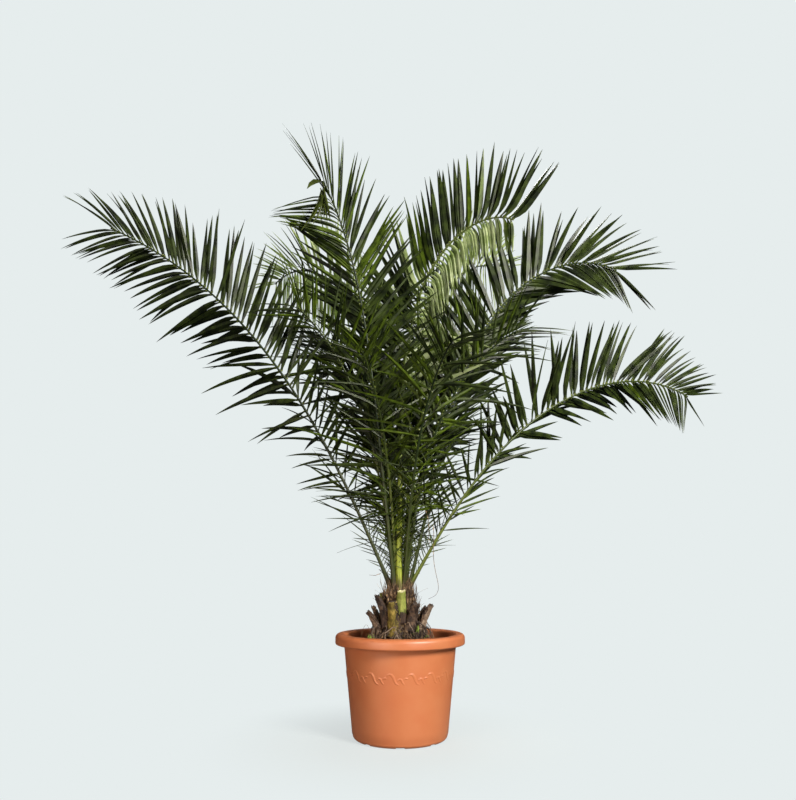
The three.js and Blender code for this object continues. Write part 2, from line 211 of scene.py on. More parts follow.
def planter():
    """The whole moulding as one turned skin, with the border and the notches worked into it. Its
    profile runs from the middle of the underside up the wall and over the rim to the floor."""
    rim_foot = RIM_TOP - RIM_DROP
    border_low = BORDER_HEIGHT - BORDER_HALF
    border_high = BORDER_HEIGHT + BORDER_HALF
    middle = FOOT_RADIUS * 0.4
    foot = [(middle, 0), (FOOT_RADIUS - 1.2 * FOOT_RING, 0), (FOOT_RADIUS - FOOT_RING, 0)]
    foot += arc(FOOT_RADIUS - FOOT_ROUNDING, FOOT_ROUNDING, FOOT_ROUNDING, -90, 0, 8)
    wall = [(wall_radius(height), height) for height in [
        *np.linspace(FOOT_ROUNDING * 1.3, border_low, 8)[:-1],
        *np.linspace(border_low, border_high, 36),
        *np.linspace(border_high, rim_foot - 2 * MM, 7)[1:],
    ]]
    rim = [(NECK_RADIUS + 1 * MM, rim_foot)]
    rim += arc(RIM_RADIUS - RIM_EDGE_ROUNDING, rim_foot + RIM_EDGE_ROUNDING, RIM_EDGE_ROUNDING, -90, 0, 5)
    rim += arc(RIM_RADIUS - RIM_CREST_ROUNDING, RIM_TOP - RIM_CREST_ROUNDING, RIM_CREST_ROUNDING, 0, 90, 9)
    rim += arc(
        RIM_RADIUS - RIM_WIDTH + RIM_INNER_ROUNDING, RIM_TOP - RIM_INNER_ROUNDING,
        RIM_INNER_ROUNDING, 90, 180, 7,
    )
    inside_neck = wall_radius(rim_foot) - POT_WALL
    inside = [(inside_neck, rim_foot + 6 * MM), (inside_neck, rim_foot - 4 * MM)]
    inside += [(wall_radius(POT_FLOOR) - POT_WALL, POT_FLOOR), (middle, POT_FLOOR)]
    profile = np.array(foot + wall + rim + inside)
    angle = full_turn(POT_COLUMNS)
    radius = np.repeat(profile[:, :1], POT_COLUMNS, 1)
    height = np.repeat(profile[:, 1:], POT_COLUMNS, 1)
    outside = slice(len(foot), len(foot) + len(wall))
    repeat_angle = 2 * math.pi / SCROLLS
    along = ((angle + SCROLL_TURN) % repeat_angle) * wall_radius(BORDER_HEIGHT) / MM
    up = (height[outside] - BORDER_HEIGHT) / MM
    radius[outside] += SCROLL_RELIEF * scroll_relief(np.broadcast_to(along, up.shape), up)
    half_turn = math.pi / NOTCHES
    from_notch = (angle + math.pi / 2 + half_turn) % (2 * half_turn) - half_turn
    notched = np.abs(from_notch) * FOOT_RADIUS < NOTCH_WIDTH / 2
    cut = notched & (radius > FOOT_RADIUS - FOOT_RING) & (height < NOTCH_HEIGHT)
    height[cut] = NOTCH_HEIGHT
    faces = tube_faces(len(profile), POT_COLUMNS)
    return make_piece("planter", round_axis(radius, angle, height), faces, [moulded_polypropylene()])


pot = planter()
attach(pot, "root")
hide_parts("pot")

# ---- Potting soil --------------------------------------------------------------------------
# Dark peat and bark compost, a little below the rim and heaped against the trunk, with loose
# crumbs and slivers of bark lying on it.
SOIL_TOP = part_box("potting_soil")[1].z
SOIL_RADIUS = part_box("potting_soil")[1].x - 1 * MM
SOIL_DEPTH = 30 * MM
SOIL_SINK = 4 * MM
SOIL_UNEVENNESS = 2.5 * MM
SOIL_WAVES = (0.09, 0.05, 0.02)
HEAP_HEIGHT = 7 * MM
HEAP_RADIUS = 60 * MM
HEAP_WIDTH = 35 * MM
CRUMBS = 1500
CRUMB_MM = (1.0, 5.0)          # each pair of sizes is the smallest and the largest
SLIVER_SHARE = 0.12
SLIVER_MM = ((5, 2, 1), (12, 4, 2))
dice = np.random.default_rng(7)        # thrown for all that is strewn, combed or torn


def potting_compost():
    """Moist peat compost: near black brown, lighter where bark fibre shows, and quite matt."""
    material, tree, place = new_material("potting_compost")
    lump_size = {"Scale": 1 / (6 * MM), "Detail": 6.0, "Roughness": 0.7}
    lumps = add_node(tree, "ShaderNodeTexNoise", lump_size, {"Vector": place})
    tones = [(0.3, "#150f0b"), (0.72, "#54402c"), (0.5, "#2c2018")]
    finish_surface(tree, lumps, tones, {"Roughness": 0.93}, lumps, {"Distance": 2.5 * MM})
    return material


def unit(vectors):
    """The vectors at length one."""
    return vectors / np.linalg.norm(vectors, axis=-1, keepdims=True)


def ripples(points, wavelengths, seed):
    """Smooth unevenness of about -1 to 1: four crossing waves of each length, in metres."""
    waves = np.random.default_rng(seed)
    usual_peak = 2.2
    total = np.zeros(points.shape[:-1])
    for length in np.repeat(wavelengths, 4):
        heading = unit(waves.normal(size=points.shape[-1]))
        phase = waves.uniform(0, 2 * math.pi)
        total += length * np.sin(points @ heading * 2 * math.pi / length + phase)
    return total / sum(wavelengths) / usual_peak


def clods(centres, sizes, seed):
    """Points and faces of small uneven lumps, each an octahedron of its own proportions."""
    corners = np.array([(1, 0, 0), (-1, 0, 0), (0, 1, 0), (0, -1, 0), (0, 0, 1), (0, 0, -1)], float)
    sides = np.array([(0, 2, 4), (2, 1, 4), (1, 3, 4), (3, 0, 4), (2, 0, 5), (1, 2, 5), (3, 1, 5), (0, 3, 5)])
    shaping = np.random.default_rng(seed)
    shape = corners * shaping.uniform(0.55, 1.25, (len(centres), 6, 1)) * sizes[:, None, :]
    turn = np.linalg.qr(shaping.normal(size=(len(centres), 3, 3)))[0]
    turn *= np.sign(np.linalg.det(turn))[:, None, None]
    points = np.einsum("nij,nkj->nki", turn, shape) + centres[:, None, :]
    faces = sides + 6 * np.arange(len(centres))[:, None, None]
    return points, faces.reshape(-1, 3)


def soil_height(x, y):
    """The soil's surface: uneven, and heaped a little against the trunk."""
    heap = HEAP_HEIGHT * np.exp(-((np.hypot(x, y) - HEAP_RADIUS) / HEAP_WIDTH) ** 2)
    return SOIL_TOP - SOIL_SINK + SOIL_UNEVENNESS * ripples(np.stack([x, y], -1), SOIL_WAVES, 3) + heap


def soil_bed(compost):
    """The top of the soil as a fine uneven disc, closed by a side and a flat underside."""
    rings, columns = 46, 150
    reach = np.linspace(0.08, 1, rings)[::-1, None] * SOIL_RADIUS
    angle = full_turn(columns)
    x, y = reach * np.cos(angle), reach * np.sin(angle)
    top = np.stack([x, y, soil_height(x, y)], -1)
    side = top[:1] * (0.985, 0.985, 1) - (0, 0, SOIL_DEPTH)
    points = np.concatenate([side, top])
    return make_piece("soil_bed", points, tube_faces(rings + 1, columns), [compost])


def soil_crumbs(compost):
    """Loose crumbs, and one in eight a sliver of bark, strewn over the bed."""
    reach = SOIL_RADIUS * 0.97 * np.sqrt(dice.uniform(0.05, 1, CRUMBS))
    angle = dice.uniform(0, 2 * math.pi, CRUMBS)
    x, y = reach * np.cos(angle), reach * np.sin(angle)
    sizes = dice.uniform(*CRUMB_MM, (CRUMBS, 3)) * MM
    slivers = dice.random(CRUMBS) < SLIVER_SHARE
    sizes[slivers] = dice.uniform(*SLIVER_MM, (slivers.sum(), 3)) * MM
    centres = np.stack([x, y, soil_height(x, y) + sizes.min(1) / 2], -1)
    points, faces = clods(centres, sizes, 11)
    return make_piece("soil_crumbs", points, [faces], [compost], smooth=False)


compost = potting_compost()
bed = soil_bed(compost)
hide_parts("potting_soil")
for piece in (bed, soil_crumbs(compost)):
    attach(piece, "root")

# ---- Trunk ---------------------------------------------------------------------------------
# A short thick stem wrapped in brown fibre, the remains of old leaf sheaths: a ridged skin with
# loose strands combed up it, and a frayed cone of fibre between the feet of the fronds.
TRUNK_FOOT_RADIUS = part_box("trunk")[1].x
TRUNK_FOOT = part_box("trunk")[0].z
TRUNK_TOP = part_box("trunk")[1].z
WAIST_RADIUS = 46 * MM
WAIST = 350 * MM
CROWN_RADIUS = 39 * MM
NECK_FIBRE_RADIUS = 30 * MM
FIBRE_CONE = 42 * MM
FIBRE_CONE_RADIUS = 13 * MM
TRUNK_BURIED = 12 * MM
TRUNK_RIDGE = 3 * MM
TRUNK_WAVES = (0.05, 0.02, 0.009)
STRANDS = 1500
STRAND_LENGTH_MM = (35, 120)
STRAND_LIFT_MM = (-1, 9)
STRAND_HALF_MM = (0.35, 1.0)
STRAND_FRAY_MM = 8
STRAND_TOP = 50 * MM           # how far above the stem a strand may reach
RIBBONS = 280
RIBBON_FEET = (0.315, 0.425)
RIBBON_OFF_MM = (-3, 14)
RIBBON_LENGTH_MM = (15, 58)
RIBBON_BOW_MM = (-10, 30)
RIBBON_HALF_MM = (0.8, 3.2)


def combed_fibre(tree, place, strand, stretch, patch, patchiness):
    """Fibre that runs up a piece: the pattern of its strands, drawn out lengthwise, and that pattern
    with broad patches mixed into it."""
    combed = add_node(tree, "ShaderNodeMapping", {"Scale": (1, 1, stretch)}, {"Vector": place})
    strands = add_node(tree, "ShaderNodeTexNoise", strand, {"Vector": combed})
    patches = add_node(tree, "ShaderNodeTexNoise", {"Scale": 1 / patch, "Detail": 3.0}, {"Vector": place})
    return strands, add_node(tree, "ShaderNodeMix", {"Factor": patchiness}, {2: strands, 3: patches})


def palm_fibre():
    """Dry palm fibre: fine dark brown strands up the stem, tan where they catch the light."""
    material, tree, place = new_material("palm_fibre")
    strand = {"Scale": 1 / (2.2 * MM), "Detail": 5.0, "Roughness": 0.7}
    strands, patched = combed_fibre(tree, place, strand, 0.12, 28 * MM, 0.38)
    tones = [(0.38, "#17100d"), (0.68, "#94774f"), (0.49, "#372820"), (0.58, "#5d4632")]
    finish_surface(tree, patched, tones, {"Roughness": 0.85}, strands, {"Distance": 1.6 * MM})
    return material


def clouded_skin(name, cloud, roughness, stops, detail=2.0):
    """A plain plant skin with no relief of its own, softly clouded between a few tones."""
    material, tree, place = new_material(name)
    clouds = add_node(tree, "ShaderNodeTexNoise", {"Scale": 1 / cloud, "Detail": detail}, {"Vector": place})
    finish_surface(tree, clouds, stops, {"Roughness": roughness})
    return material


def trunk_radius(height):
    """The stem's radius: flared at the soil, straight above its waist, closing in a cone on top."""
    heights = (TRUNK_FOOT, WAIST, TRUNK_TOP - 30 * MM, TRUNK_TOP, TRUNK_TOP + FIBRE_CONE)
    radii = (TRUNK_FOOT_RADIUS, WAIST_RADIUS, CROWN_RADIUS, NECK_FIBRE_RADIUS, FIBRE_CONE_RADIUS)
    return np.interp(height, heights, radii)


def trunk_skin(fibre):
    """The skin, from under the soil's surface to the tip of the fibre cone, ridged up the stem."""
    rows, columns = 84, 120
    height = np.linspace(TRUNK_FOOT - TRUNK_BURIED, TRUNK_TOP + FIBRE_CONE, rows)[:, None]
    angle = full_turn(columns)
    drawn_up = round_axis(0.06, angle, height * 0.2)
    radius = trunk_radius(height) + TRUNK_RIDGE * ripples(drawn_up, TRUNK_WAVES, 21)
    return make_piece("trunk_skin", round_axis(radius, angle, height), tube_faces(rows, columns), [fibre])


def tubes(routes, radii, sides, seed):
    """Points and faces of thin closed tubes: routes count x steps x 3, radii count x steps."""
    count, steps, _ = routes.shape
    ahead = unit(np.gradient(routes, axis=1))
    across = unit(np.cross(ahead, np.random.default_rng(seed).normal(size=(count, 1, 3))))
    over = np.cross(ahead, across)
    turn = 2 * math.pi * np.arange(sides)[:, None] / sides
    ring = across[:, :, None] * np.cos(turn) + over[:, :, None] * np.sin(turn)
    points = routes[:, :, None] + ring * radii[:, :, None, None]
    return points, tube_faces(steps, sides, count)


def blades(feet, tips, half_widths, bow, seed):
    """Points and faces of small thin pointed leaves, from feet to tips, bowed outwards."""
    shares = np.array([0, 0.35, 0.7, 1.0])
    fullness = np.array([0.5, 1.0, 0.75, 0.08])
    thinness = 0.15
    line = feet[:, None] + (tips - feet)[:, None] * shares[:, None]
    line = line + bow[:, None] * (shares * (1 - shares))[:, None]
    across = unit(np.cross(tips - feet, np.random.default_rng(seed).normal(size=feet.shape)))
    over = unit(np.cross(across, tips - feet))
    wide = (half_widths[:, None] * fullness)[..., None] * across[:, None]
    thick = thinness * (half_widths[:, None] * fullness)[..., None] * over[:, None]
    points = np.stack([line - wide, line + thick, line + wide, line - thick], 2)
    return points, tube_faces(len(shares), 4, len(feet))


def tube_slots(kinds, rows, columns):
    """The skin of every face of closed tubes, from the kind of each tube."""
    return np.concatenate([np.repeat(kinds, (rows - 1) * columns), np.repeat(kinds, 2)])


def neck_fibres(fibres):
    """Torn flat ribbons of sheath fibre that stand round the feet of the fronds."""
    heading = dice.uniform(0, 2 * math.pi, RIBBONS)
    foot = dice.uniform(*RIBBON_FEET, RIBBONS)
    radius = trunk_radius(foot) + dice.uniform(*RIBBON_OFF_MM, RIBBONS) * MM
    feet = round_axis(radius, heading, foot)
    outward = round_axis(1, heading, 0)
    lean = outward * dice.normal(0.02, 0.22, (RIBBONS, 1))
    lean = lean + dice.normal(0, 0.16, (RIBBONS, 3)) + (0, 0, 1)
    tips = feet + lean * dice.uniform(*RIBBON_LENGTH_MM, (RIBBONS, 1)) * MM
    bow = outward * dice.uniform(*RIBBON_BOW_MM, (RIBBONS, 1)) * MM
    half_widths = dice.uniform(*RIBBON_HALF_MM, RIBBONS) * MM
    points, faces = blades(feet, tips, half_widths, bow, 14)
    kinds = dice.integers(0, 3, RIBBONS) % 2
    return make_piece("neck_fibres", points, faces, fibres, tube_slots(kinds, 4, 4), smooth=False)


def trunk_strands(straw):
    """Loose fibres combed up the stem, some crossing, their ends standing off it."""
    along = np.linspace(0, 1, 9)
    start = dice.uniform(TRUNK_FOOT - 4 * MM, TRUNK_TOP - 20 * MM, STRANDS)
    length = dice.uniform(*STRAND_LENGTH_MM, STRANDS) * MM
    height = np.minimum(start[:, None] + length[:, None] * along, TRUNK_TOP + STRAND_TOP)
    heading = dice.uniform(0, 2 * math.pi, (STRANDS, 1)) + dice.normal(0, 0.5, (STRANDS, 1)) * along
    heading = heading + 0.06 * np.sin(6 * along + dice.uniform(0, 6, (STRANDS, 1)))
    lift = dice.uniform(*STRAND_LIFT_MM, (STRANDS, 1)) * MM
    fray = dice.exponential(STRAND_FRAY_MM, (STRANDS, 1)) * MM * along ** 3
    routes = round_axis(trunk_radius(height) + lift + fray, heading, height)
    thick = dice.uniform(*STRAND_HALF_MM, (STRANDS, 1)) * MM * (1.1 - 0.8 * along)
    points, faces = tubes(routes, thick, 4, 5)
    return make_piece("trunk_strands", points, faces, [straw])


brown_fibre = palm_fibre()
# single dry fibres bleached straw brown, some of them still dark, with a slight waxy sheen
straw = clouded_skin("straw_fibre", 9 * MM, 0.7, [(0.38, "#33241b"), (0.66, "#b89a74"), (0.53, "#735a40")])
skin = trunk_skin(brown_fibre)
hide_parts("trunk")
for piece in (skin, trunk_strands(straw), neck_fibres([straw, brown_fibre])):
    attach(piece, "root")

# ---- Cut leaf bases ------------------------------------------------------------------------
# The stumps of old fronds, sawn off a hand's breadth from the stem, climb it in a spiral. The
# lower ones are dry and grey brown with dark ends, the newest still green with a cream cut.
BASE_FIRST_HEADING = 200
BASE_TURN = 137.5
BASE_WIDTH = 52 * MM
BASE_TOP_WIDTH = 27 * MM
BASE_THICKNESS = 21 * MM
BASE_TOP_THICKNESS = 13.5 * MM
BASE_SUNK = 4 * MM
BASE_TAPER = 0.6
BASE_KEEL = 0.25               # keel, hollow and clasp are shares of half the thickness
BASE_KEEL_WIDTH = 0.22
BASE_HOLLOW = 0.45
BASE_CLASP = 0.55
BASE_WAVES = (0.02, 0.008, 0.004)
CUT_SHRINK = 0.86              # the sawn face is this much smaller than the torn rim round it
CUT_DEPTH = 1.5 * MM
FRESH_FIBRE = 0.36             # the share of a green base that fibre still covers
BASE_ROWS = 26
BASE_COLUMNS = 36
BASE_LEAN = 9
BASE_FLARE = 17
GREEN_BASE_WIDTH = 0.88
# each base from the lowest up: its age, and the degrees that it hooks out and leans aside
BASES = [
    ("grey", 26, 0), ("grey", 12, 6), ("dry", 4, 0), ("ochre", -4, 3), ("dry", 10, -5), ("dry", 8, 4),
    ("dark", 20, -9), ("dry", 4, 5), ("dark", 0, -7), ("dark", 22, 4), ("green", 0, 0), ("green", -6, 0),
]


def leaf_base_skin(name, dark, middle, light):
    """The leathery skin of a leaf base: lengthwise fibres in one of its ages' three tones."""
    material, tree, place = new_material(name)
    strand = {"Scale": 1 / (2.6 * MM), "Detail": 4.0, "Roughness": 0.65}
    strands, patched = combed_fibre(tree, place, strand, 0.16, 17 * MM, 0.5)
    tones = [(0.38, dark), (0.62, light), (0.5, middle)]
    finish_surface(tree, patched, tones, {"Roughness": 0.66}, strands, {"Distance": 0.9 * MM})
    return material


def sawn_end(name, ground, bundle):
    """A sawn end: spongy ground peppered with the darker ends of fibre bundles 2 mm apart."""
    material, tree, place = new_material(name)
    bundles = add_node(tree, "ShaderNodeTexVoronoi", {"Scale": 1 / (2.2 * MM)}, {"Vector": place})
    tones = [(0.12, bundle), (0.35, ground)]
    finish_surface(tree, bundles, tones, {"Roughness": 0.8}, bundles, {"Distance": 0.5 * MM})
    return material


def base_across(turn):
    """Places across a stump's section, from -1 to 1, with its edges drawn out a little."""
    return np.sign(np.cos(turn)) * np.abs(np.cos(turn)) ** 0.8


def leaf_base_rings(order, hook, side_lean, width, top_width, turn):
    """A stump's smooth rings of points, from its foot to its end, and the way that it ends up facing.
    Its section is keeled outside, and hollow and clasping on the side of the stem."""
    low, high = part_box(f"leaf_base_{order + 1:02d}")
    heading = math.radians(BASE_FIRST_HEADING + BASE_TURN * order)
    outward = np.array([math.cos(heading), math.sin(heading), 0])
    side = np.array([-math.sin(heading), math.cos(heading), 0])
    upright = np.array([0, 0, 1])
    length = (high.z - low.z) / math.cos(math.radians(BASE_LEAN + BASE_FLARE / 2)) * 0.96
    across = base_across(turn)
    face = np.sin(turn)
    keel = np.where(face > 0, BASE_KEEL * np.exp(-(across / BASE_KEEL_WIDTH) ** 2), 0)
    hollow = np.where(face < 0, BASE_HOLLOW * (1 - across ** 2), 0)
    spot = outward * (trunk_radius(low.z) + BASE_THICKNESS / 2 - BASE_SUNK) + upright * low.z
    rings = []
    for climb in np.linspace(0, 1, BASE_ROWS):
        lean = math.radians(BASE_LEAN + BASE_FLARE * climb + hook * climb ** 2)
        sway = side * math.sin(math.radians(side_lean * climb))
        ahead = outward * math.sin(lean) + upright * math.cos(lean) + sway
        out = outward * math.cos(lean) - upright * math.sin(lean)
        half_width = width * (BASE_WIDTH + (top_width - BASE_WIDTH) * climb ** BASE_TAPER) / 2
        half_thick = (BASE_THICKNESS + (BASE_TOP_THICKNESS - BASE_THICKNESS) * climb) / 2
        clasp = -BASE_CLASP * across ** 2 * (1 - 0.6 * climb)
        depth = (face + keel + hollow + clasp) * half_thick
        rings.append(spot + np.outer(across * half_width, side) + np.outer(depth, out))
        spot = spot + ahead * (length / (BASE_ROWS - 1))
    return np.array(rings), ahead


def leaf_base(order, age, hook, side_lean):
    """One stump, tapering up and out from the stem to a sawn end. An old one is torn and frayed
    down its edges, and a green one is smooth and slim, with brown fibre only round its foot."""
    own = np.random.default_rng(40 + order)
    fresh = age == "green"
    torn = 0.2 if fresh else 1
    turn = full_turn(BASE_COLUMNS)
    top_width = BASE_TOP_WIDTH * own.uniform(0.55, 1.05)
    width = GREEN_BASE_WIDTH if fresh else 1
    points, ahead = leaf_base_rings(order, hook, side_lean, width, top_width, turn)
    centre = points.mean(1, keepdims=True)
    away = unit(points - centre)
    rough = ripples(points * (1, 1, 0.25), BASE_WAVES, 60 + order)
    points += away * ((0.6 + 1.6 * torn) * MM * rough)[..., None]
    from_middle = np.abs(base_across(turn))
    edges = own.normal(0, 1.8 * torn, points.shape[:2]) * MM * (from_middle > 0.85)
    points += away * edges[..., None]
    ragged = own.normal(0, 0.6 + 2.4 * torn, BASE_COLUMNS) * MM
    askew = 2.5 * MM * np.cos(turn + own.uniform(0, 6))
    points[-1] += np.outer(ragged + askew, ahead)
    cut = centre[-1] + (points[-1] - centre[-1]) * CUT_SHRINK - CUT_DEPTH * ahead
    points = np.concatenate([points, cut[None]])
    frayed = from_middle + 0.12 * own.normal(size=(BASE_ROWS - 1, BASE_COLUMNS)) > 0.86
    if fresh:
        climb = np.linspace(0, 1, BASE_ROWS - 1)[:, None]
        frayed = climb < FRESH_FIBRE + 0.05 * own.normal(size=BASE_COLUMNS)
    slots = [*np.where(frayed, 2, 0).ravel(), *[1] * BASE_COLUMNS, 0, 1]
    faces = tube_faces(BASE_ROWS + 1, BASE_COLUMNS)
    return make_piece(f"stump_{order + 1:02d}", points, faces, base_finishes[age], slots)


old_cut = sawn_end("old_sawn_end", "#40332a", "#15100d")
fresh_cut = sawn_end("fresh_sawn_end", "#d6d2a2", "#96935a")
base_tones = {
    "dry": ("#2e2017", "#64503a", "#a0876a"),
    "grey": ("#33271f", "#6c5a4a", "#a08d78"),
    "dark": ("#150f0c", "#33261e", "#6a5442"),
    "ochre": ("#3a300c", "#6e6020", "#a08c44"),
    "green": ("#6a7630", "#868f40", "#a2a858"),
}
base_finishes = {}
for age, tones in base_tones.items():
    cut = fresh_cut if age == "green" else old_cut
    base_finishes[age] = (leaf_base_skin(f"{age}_leaf_base", *tones), cut, brown_fibre)
for order, (age, hook, side_lean) in enumerate(BASES):
    stump = leaf_base(order, age, hook, side_lean)
    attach(stump, "root")
    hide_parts(f"leaf_base_{order + 1:02d}")

# ---- Roots, moss and seedlings at the trunk's foot -----------------------------------------
# Short aerial roots push out of the stem into the soil, moss has settled between them, and a
# few seedlings of weeds have come up beside the trunk.
ROOTS = 420
ROOT_STEPS = 8
ROOT_SIDES = 6
ROOT_FEET_MM = (274, 338)
ROOT_REACH_MM = (6, 34)
ROOT_OFF_MM = (-2, 20)
ROOT_HALF_MM = (0.5, 1.9)
ROOT_GNARL_MM = 2.4
DAMP_HEADING = math.radians(318)
DAMP_REACH = 0.5               # how far round from that heading the roots are damp, in radians
DAMP_LIFT = 12 * MM
FALLEN_FIBRES = 260
FALLEN_AWAY_MM = (58, 96)
FALLEN_LENGTH_MM = (14, 50)
FALLEN_HALF_MM = (0.3, 0.9)
FALLEN_ARCH_MM = 12
MOSS_TUFTS = 260
MOSS_HEADING = math.radians(-38)
MOSS_CLIMB_MM = 20
MOSS_SPREAD_MM = (6, 32)
MOSS_TUFT_MM = 1.6
MOSS_BLADES = 14
MOSS_BLADE_MM = (3, 9)
MOSS_HALF_MM = (0.5, 1.1)
ROSETTE_TURN = 0.382           # the share of a turn between a seedling's leaves
# each seedling: its place in plan, the height of its foot, its size and its number of leaves
SEEDLINGS = [
    (-0.084, -0.03, 0.272, 0.030, 9), (0.046, -0.052, 0.30, 0.034, 6), (0.078, -0.035, 0.275, 0.024, 8),
    (-0.03, 0.08, 0.272, 0.026, 8), (0.02, -0.085, 0.27, 0.018, 7),
]


def aerial_roots():
    """Root stubs that leave the stem level and turn down into the soil, damp and dark on one side."""
    along = np.linspace(0, 1, ROOT_STEPS)
    heading = dice.uniform(0, 2 * math.pi, ROOTS)
    foot = dice.uniform(*ROOT_FEET_MM, ROOTS) * MM
    reach = dice.uniform(*ROOT_REACH_MM, (ROOTS, 1)) * MM
    off = dice.uniform(*ROOT_OFF_MM, (ROOTS, 1)) * MM
    damp = np.abs((heading - DAMP_HEADING + math.pi) % (2 * math.pi) - math.pi) < DAMP_REACH
    foot[damp] += DAMP_LIFT
    radius = trunk_radius(foot)[:, None] + off + reach * np.sin(along * 1.9)
    drop = (foot - SOIL_TOP + SOIL_SINK)[:, None]
    height = foot[:, None] - drop * along ** 1.8
    turned = heading[:, None] + dice.normal(0, 0.4, (ROOTS, 1)) * along
    routes = round_axis(radius, turned, height)
    routes += dice.normal(0, ROOT_GNARL_MM, routes.shape) * MM
    thick = dice.uniform(*ROOT_HALF_MM, (ROOTS, 1)) * MM * (1 - 0.35 * along)
    points, faces = tubes(routes, thick, ROOT_SIDES, 8)
    kinds = np.where(damp, 1, dice.integers(0, 3, ROOTS))
    skins = [base_finishes["grey"][0], base_finishes["dark"][0], straw]
    return make_piece("aerial_roots", points, faces, skins, tube_slots(kinds, ROOT_STEPS, ROOT_SIDES))


def fallen_fibres():
    """Fibres and fine roots that lie about the stem's foot in a tangle, some arching up."""
    along = np.linspace(0, 1, 8)
    place = dice.uniform(0, 2 * math.pi, FALLEN_FIBRES)
    away = dice.uniform(*FALLEN_AWAY_MM, FALLEN_FIBRES) * MM
    start = round_axis(away, place, SOIL_TOP + 1 * MM)
    heading = dice.uniform(0, 2 * math.pi, (FALLEN_FIBRES, 1))
    heading = heading + dice.normal(0, 1, (FALLEN_FIBRES, 1)) * along
    step = dice.uniform(*FALLEN_LENGTH_MM, (FALLEN_FIBRES, 1)) * MM / len(along)
    x = np.cumsum(step * np.cos(heading), 1)
    y = np.cumsum(step * np.sin(heading), 1)
    z = dice.exponential(FALLEN_ARCH_MM, (FALLEN_FIBRES, 1)) * MM * np.sin(math.pi * along)
    routes = start[:, None] + np.stack([x, y, z], -1)
    thick = dice.uniform(*FALLEN_HALF_MM, (FALLEN_FIBRES, 1)) * MM * (1.1 - 0.6 * along)
    points, faces = tubes(routes, thick, 4, 12)
    return make_piece("fallen_fibres", points, faces, [straw])


def moss_cushions():
    """Tufts of short blades, thickest at the front right of the trunk's foot."""
    heading = np.concatenate([
        dice.normal(MOSS_HEADING, 0.5, MOSS_TUFTS // 2),
        dice.uniform(0, 2 * math.pi, MOSS_TUFTS - MOSS_TUFTS // 2),
    ])
    height = SOIL_TOP + dice.exponential(MOSS_CLIMB_MM, MOSS_TUFTS) * MM
    thinning = np.exp(-(height - SOIL_TOP) / (MOSS_CLIMB_MM * MM))
    spread = dice.uniform(*MOSS_SPREAD_MM, MOSS_TUFTS) * MM * thinning
    tufts = round_axis(trunk_radius(height) + spread, heading, height)
    feet = np.repeat(tufts, MOSS_BLADES, 0)
    feet = feet + dice.normal(0, MOSS_TUFT_MM, feet.shape) * MM
    lean = dice.normal(0, 1, feet.shape)
    lean[:, 2] = np.abs(lean[:, 2]) + 0.6
    lean = unit(lean)
    tips = feet + lean * dice.uniform(*MOSS_BLADE_MM, (len(feet), 1)) * MM
    half = dice.uniform(*MOSS_HALF_MM, len(feet)) * MM
    points, faces = blades(feet, tips, half, 0.3 * lean * (0, 0, -4 * MM), 31)
    return make_piece("moss_cushions", points, faces, [moss], smooth=False)


def seedlings():
    """Small rosettes of oval leaves."""
    feet, tips, half = [], [], []
    for x, y, foot, size, leaves in SEEDLINGS:
        for leaf in range(leaves):
            heading = 2 * math.pi * leaf * ROSETTE_TURN + dice.uniform(-0.3, 0.3)
            spread = size * dice.uniform(0.25, 0.6)
            rise = size * dice.uniform(0.5, 1.0)
            feet.append((x, y, foot - 4 * MM))
            tips.append((x + spread * math.cos(heading), y + spread * math.sin(heading), foot + rise))
            half.append(size * dice.uniform(0.09, 0.15))
    feet, tips, half = np.array(feet), np.array(tips), np.array(half)
    points, faces = blades(feet, tips, half, (tips - feet) * (1.2, 1.2, 0), 33)
    return make_piece("seedlings", points, faces, [young_leaf], smooth=False)


# cushion moss: dull grey green, clouded lighter and darker, with no shine
moss = clouded_skin("moss", 7 * MM, 0.9, [(0.35, "#262b14"), (0.68, "#7d8a52"), (0.52, "#485228")], 4.0)
# young weed leaves: soft, thin and bright yellow green
young_leaf = clouded_skin("seedling_leaf", 5 * MM, 0.5, [(0.35, "#56701f"), (0.65, "#8da53a")])
for piece in (aerial_roots(), fallen_fibres(), moss_cushions(), seedlings()):
    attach(piece, "root")

# ---- Fronds --------------------------------------------------------------------------------
# Feather leaves: a tough tapering rib that rises from the crown and bends over, spines along its
# foot, and fifty to seventy stiff folded leaflets a side, hinged on swollen yellow-green bases.
#
# heading, sway, lean, bend, rolls and angles are in degrees and the rest in metres. foot_turn is how
# far round the frond's foot stands from its heading. tip_angle is between rib and leaflet at the tip,
# and narrowing how much of their width the leaflets lose towards it. Leaflets on the side that hangs
# are pulled, from share to share of the rib, straight down or to a place given from the last share;
# lift pulls those on the other side upright. tints are how many in ten sprays are deep, green,
# bright, olive and pale on its upper side, and low_tints on the side that hangs.
# deep and bright in tints are partly painted shade and painted sunlight, shaded and lit copies of one leaf,
# and pale is painted backlight
Frond = namedtuple(
    "Frond",
    "name heading sway lean bend curl length roll_foot roll_tip leaflet leaflet_angle foot_turn "
    "foot_radius foot_height width pitch first_leaflet tip_angle narrowing rib rib_width pull pulled "
    "place low_scale low_angle lift tints low_tints",
    defaults=(
        0.270, 61, 0, 0.028, 0.435, 0.019, 0.019, 0.115, 30, 0.48, "dark", 0.015, 0.2, (0.6, 1.01),
        None, 1, 1, 0, (3, 4, 2, 1, 0), (3, 4, 2, 1, 0),
    ),
)
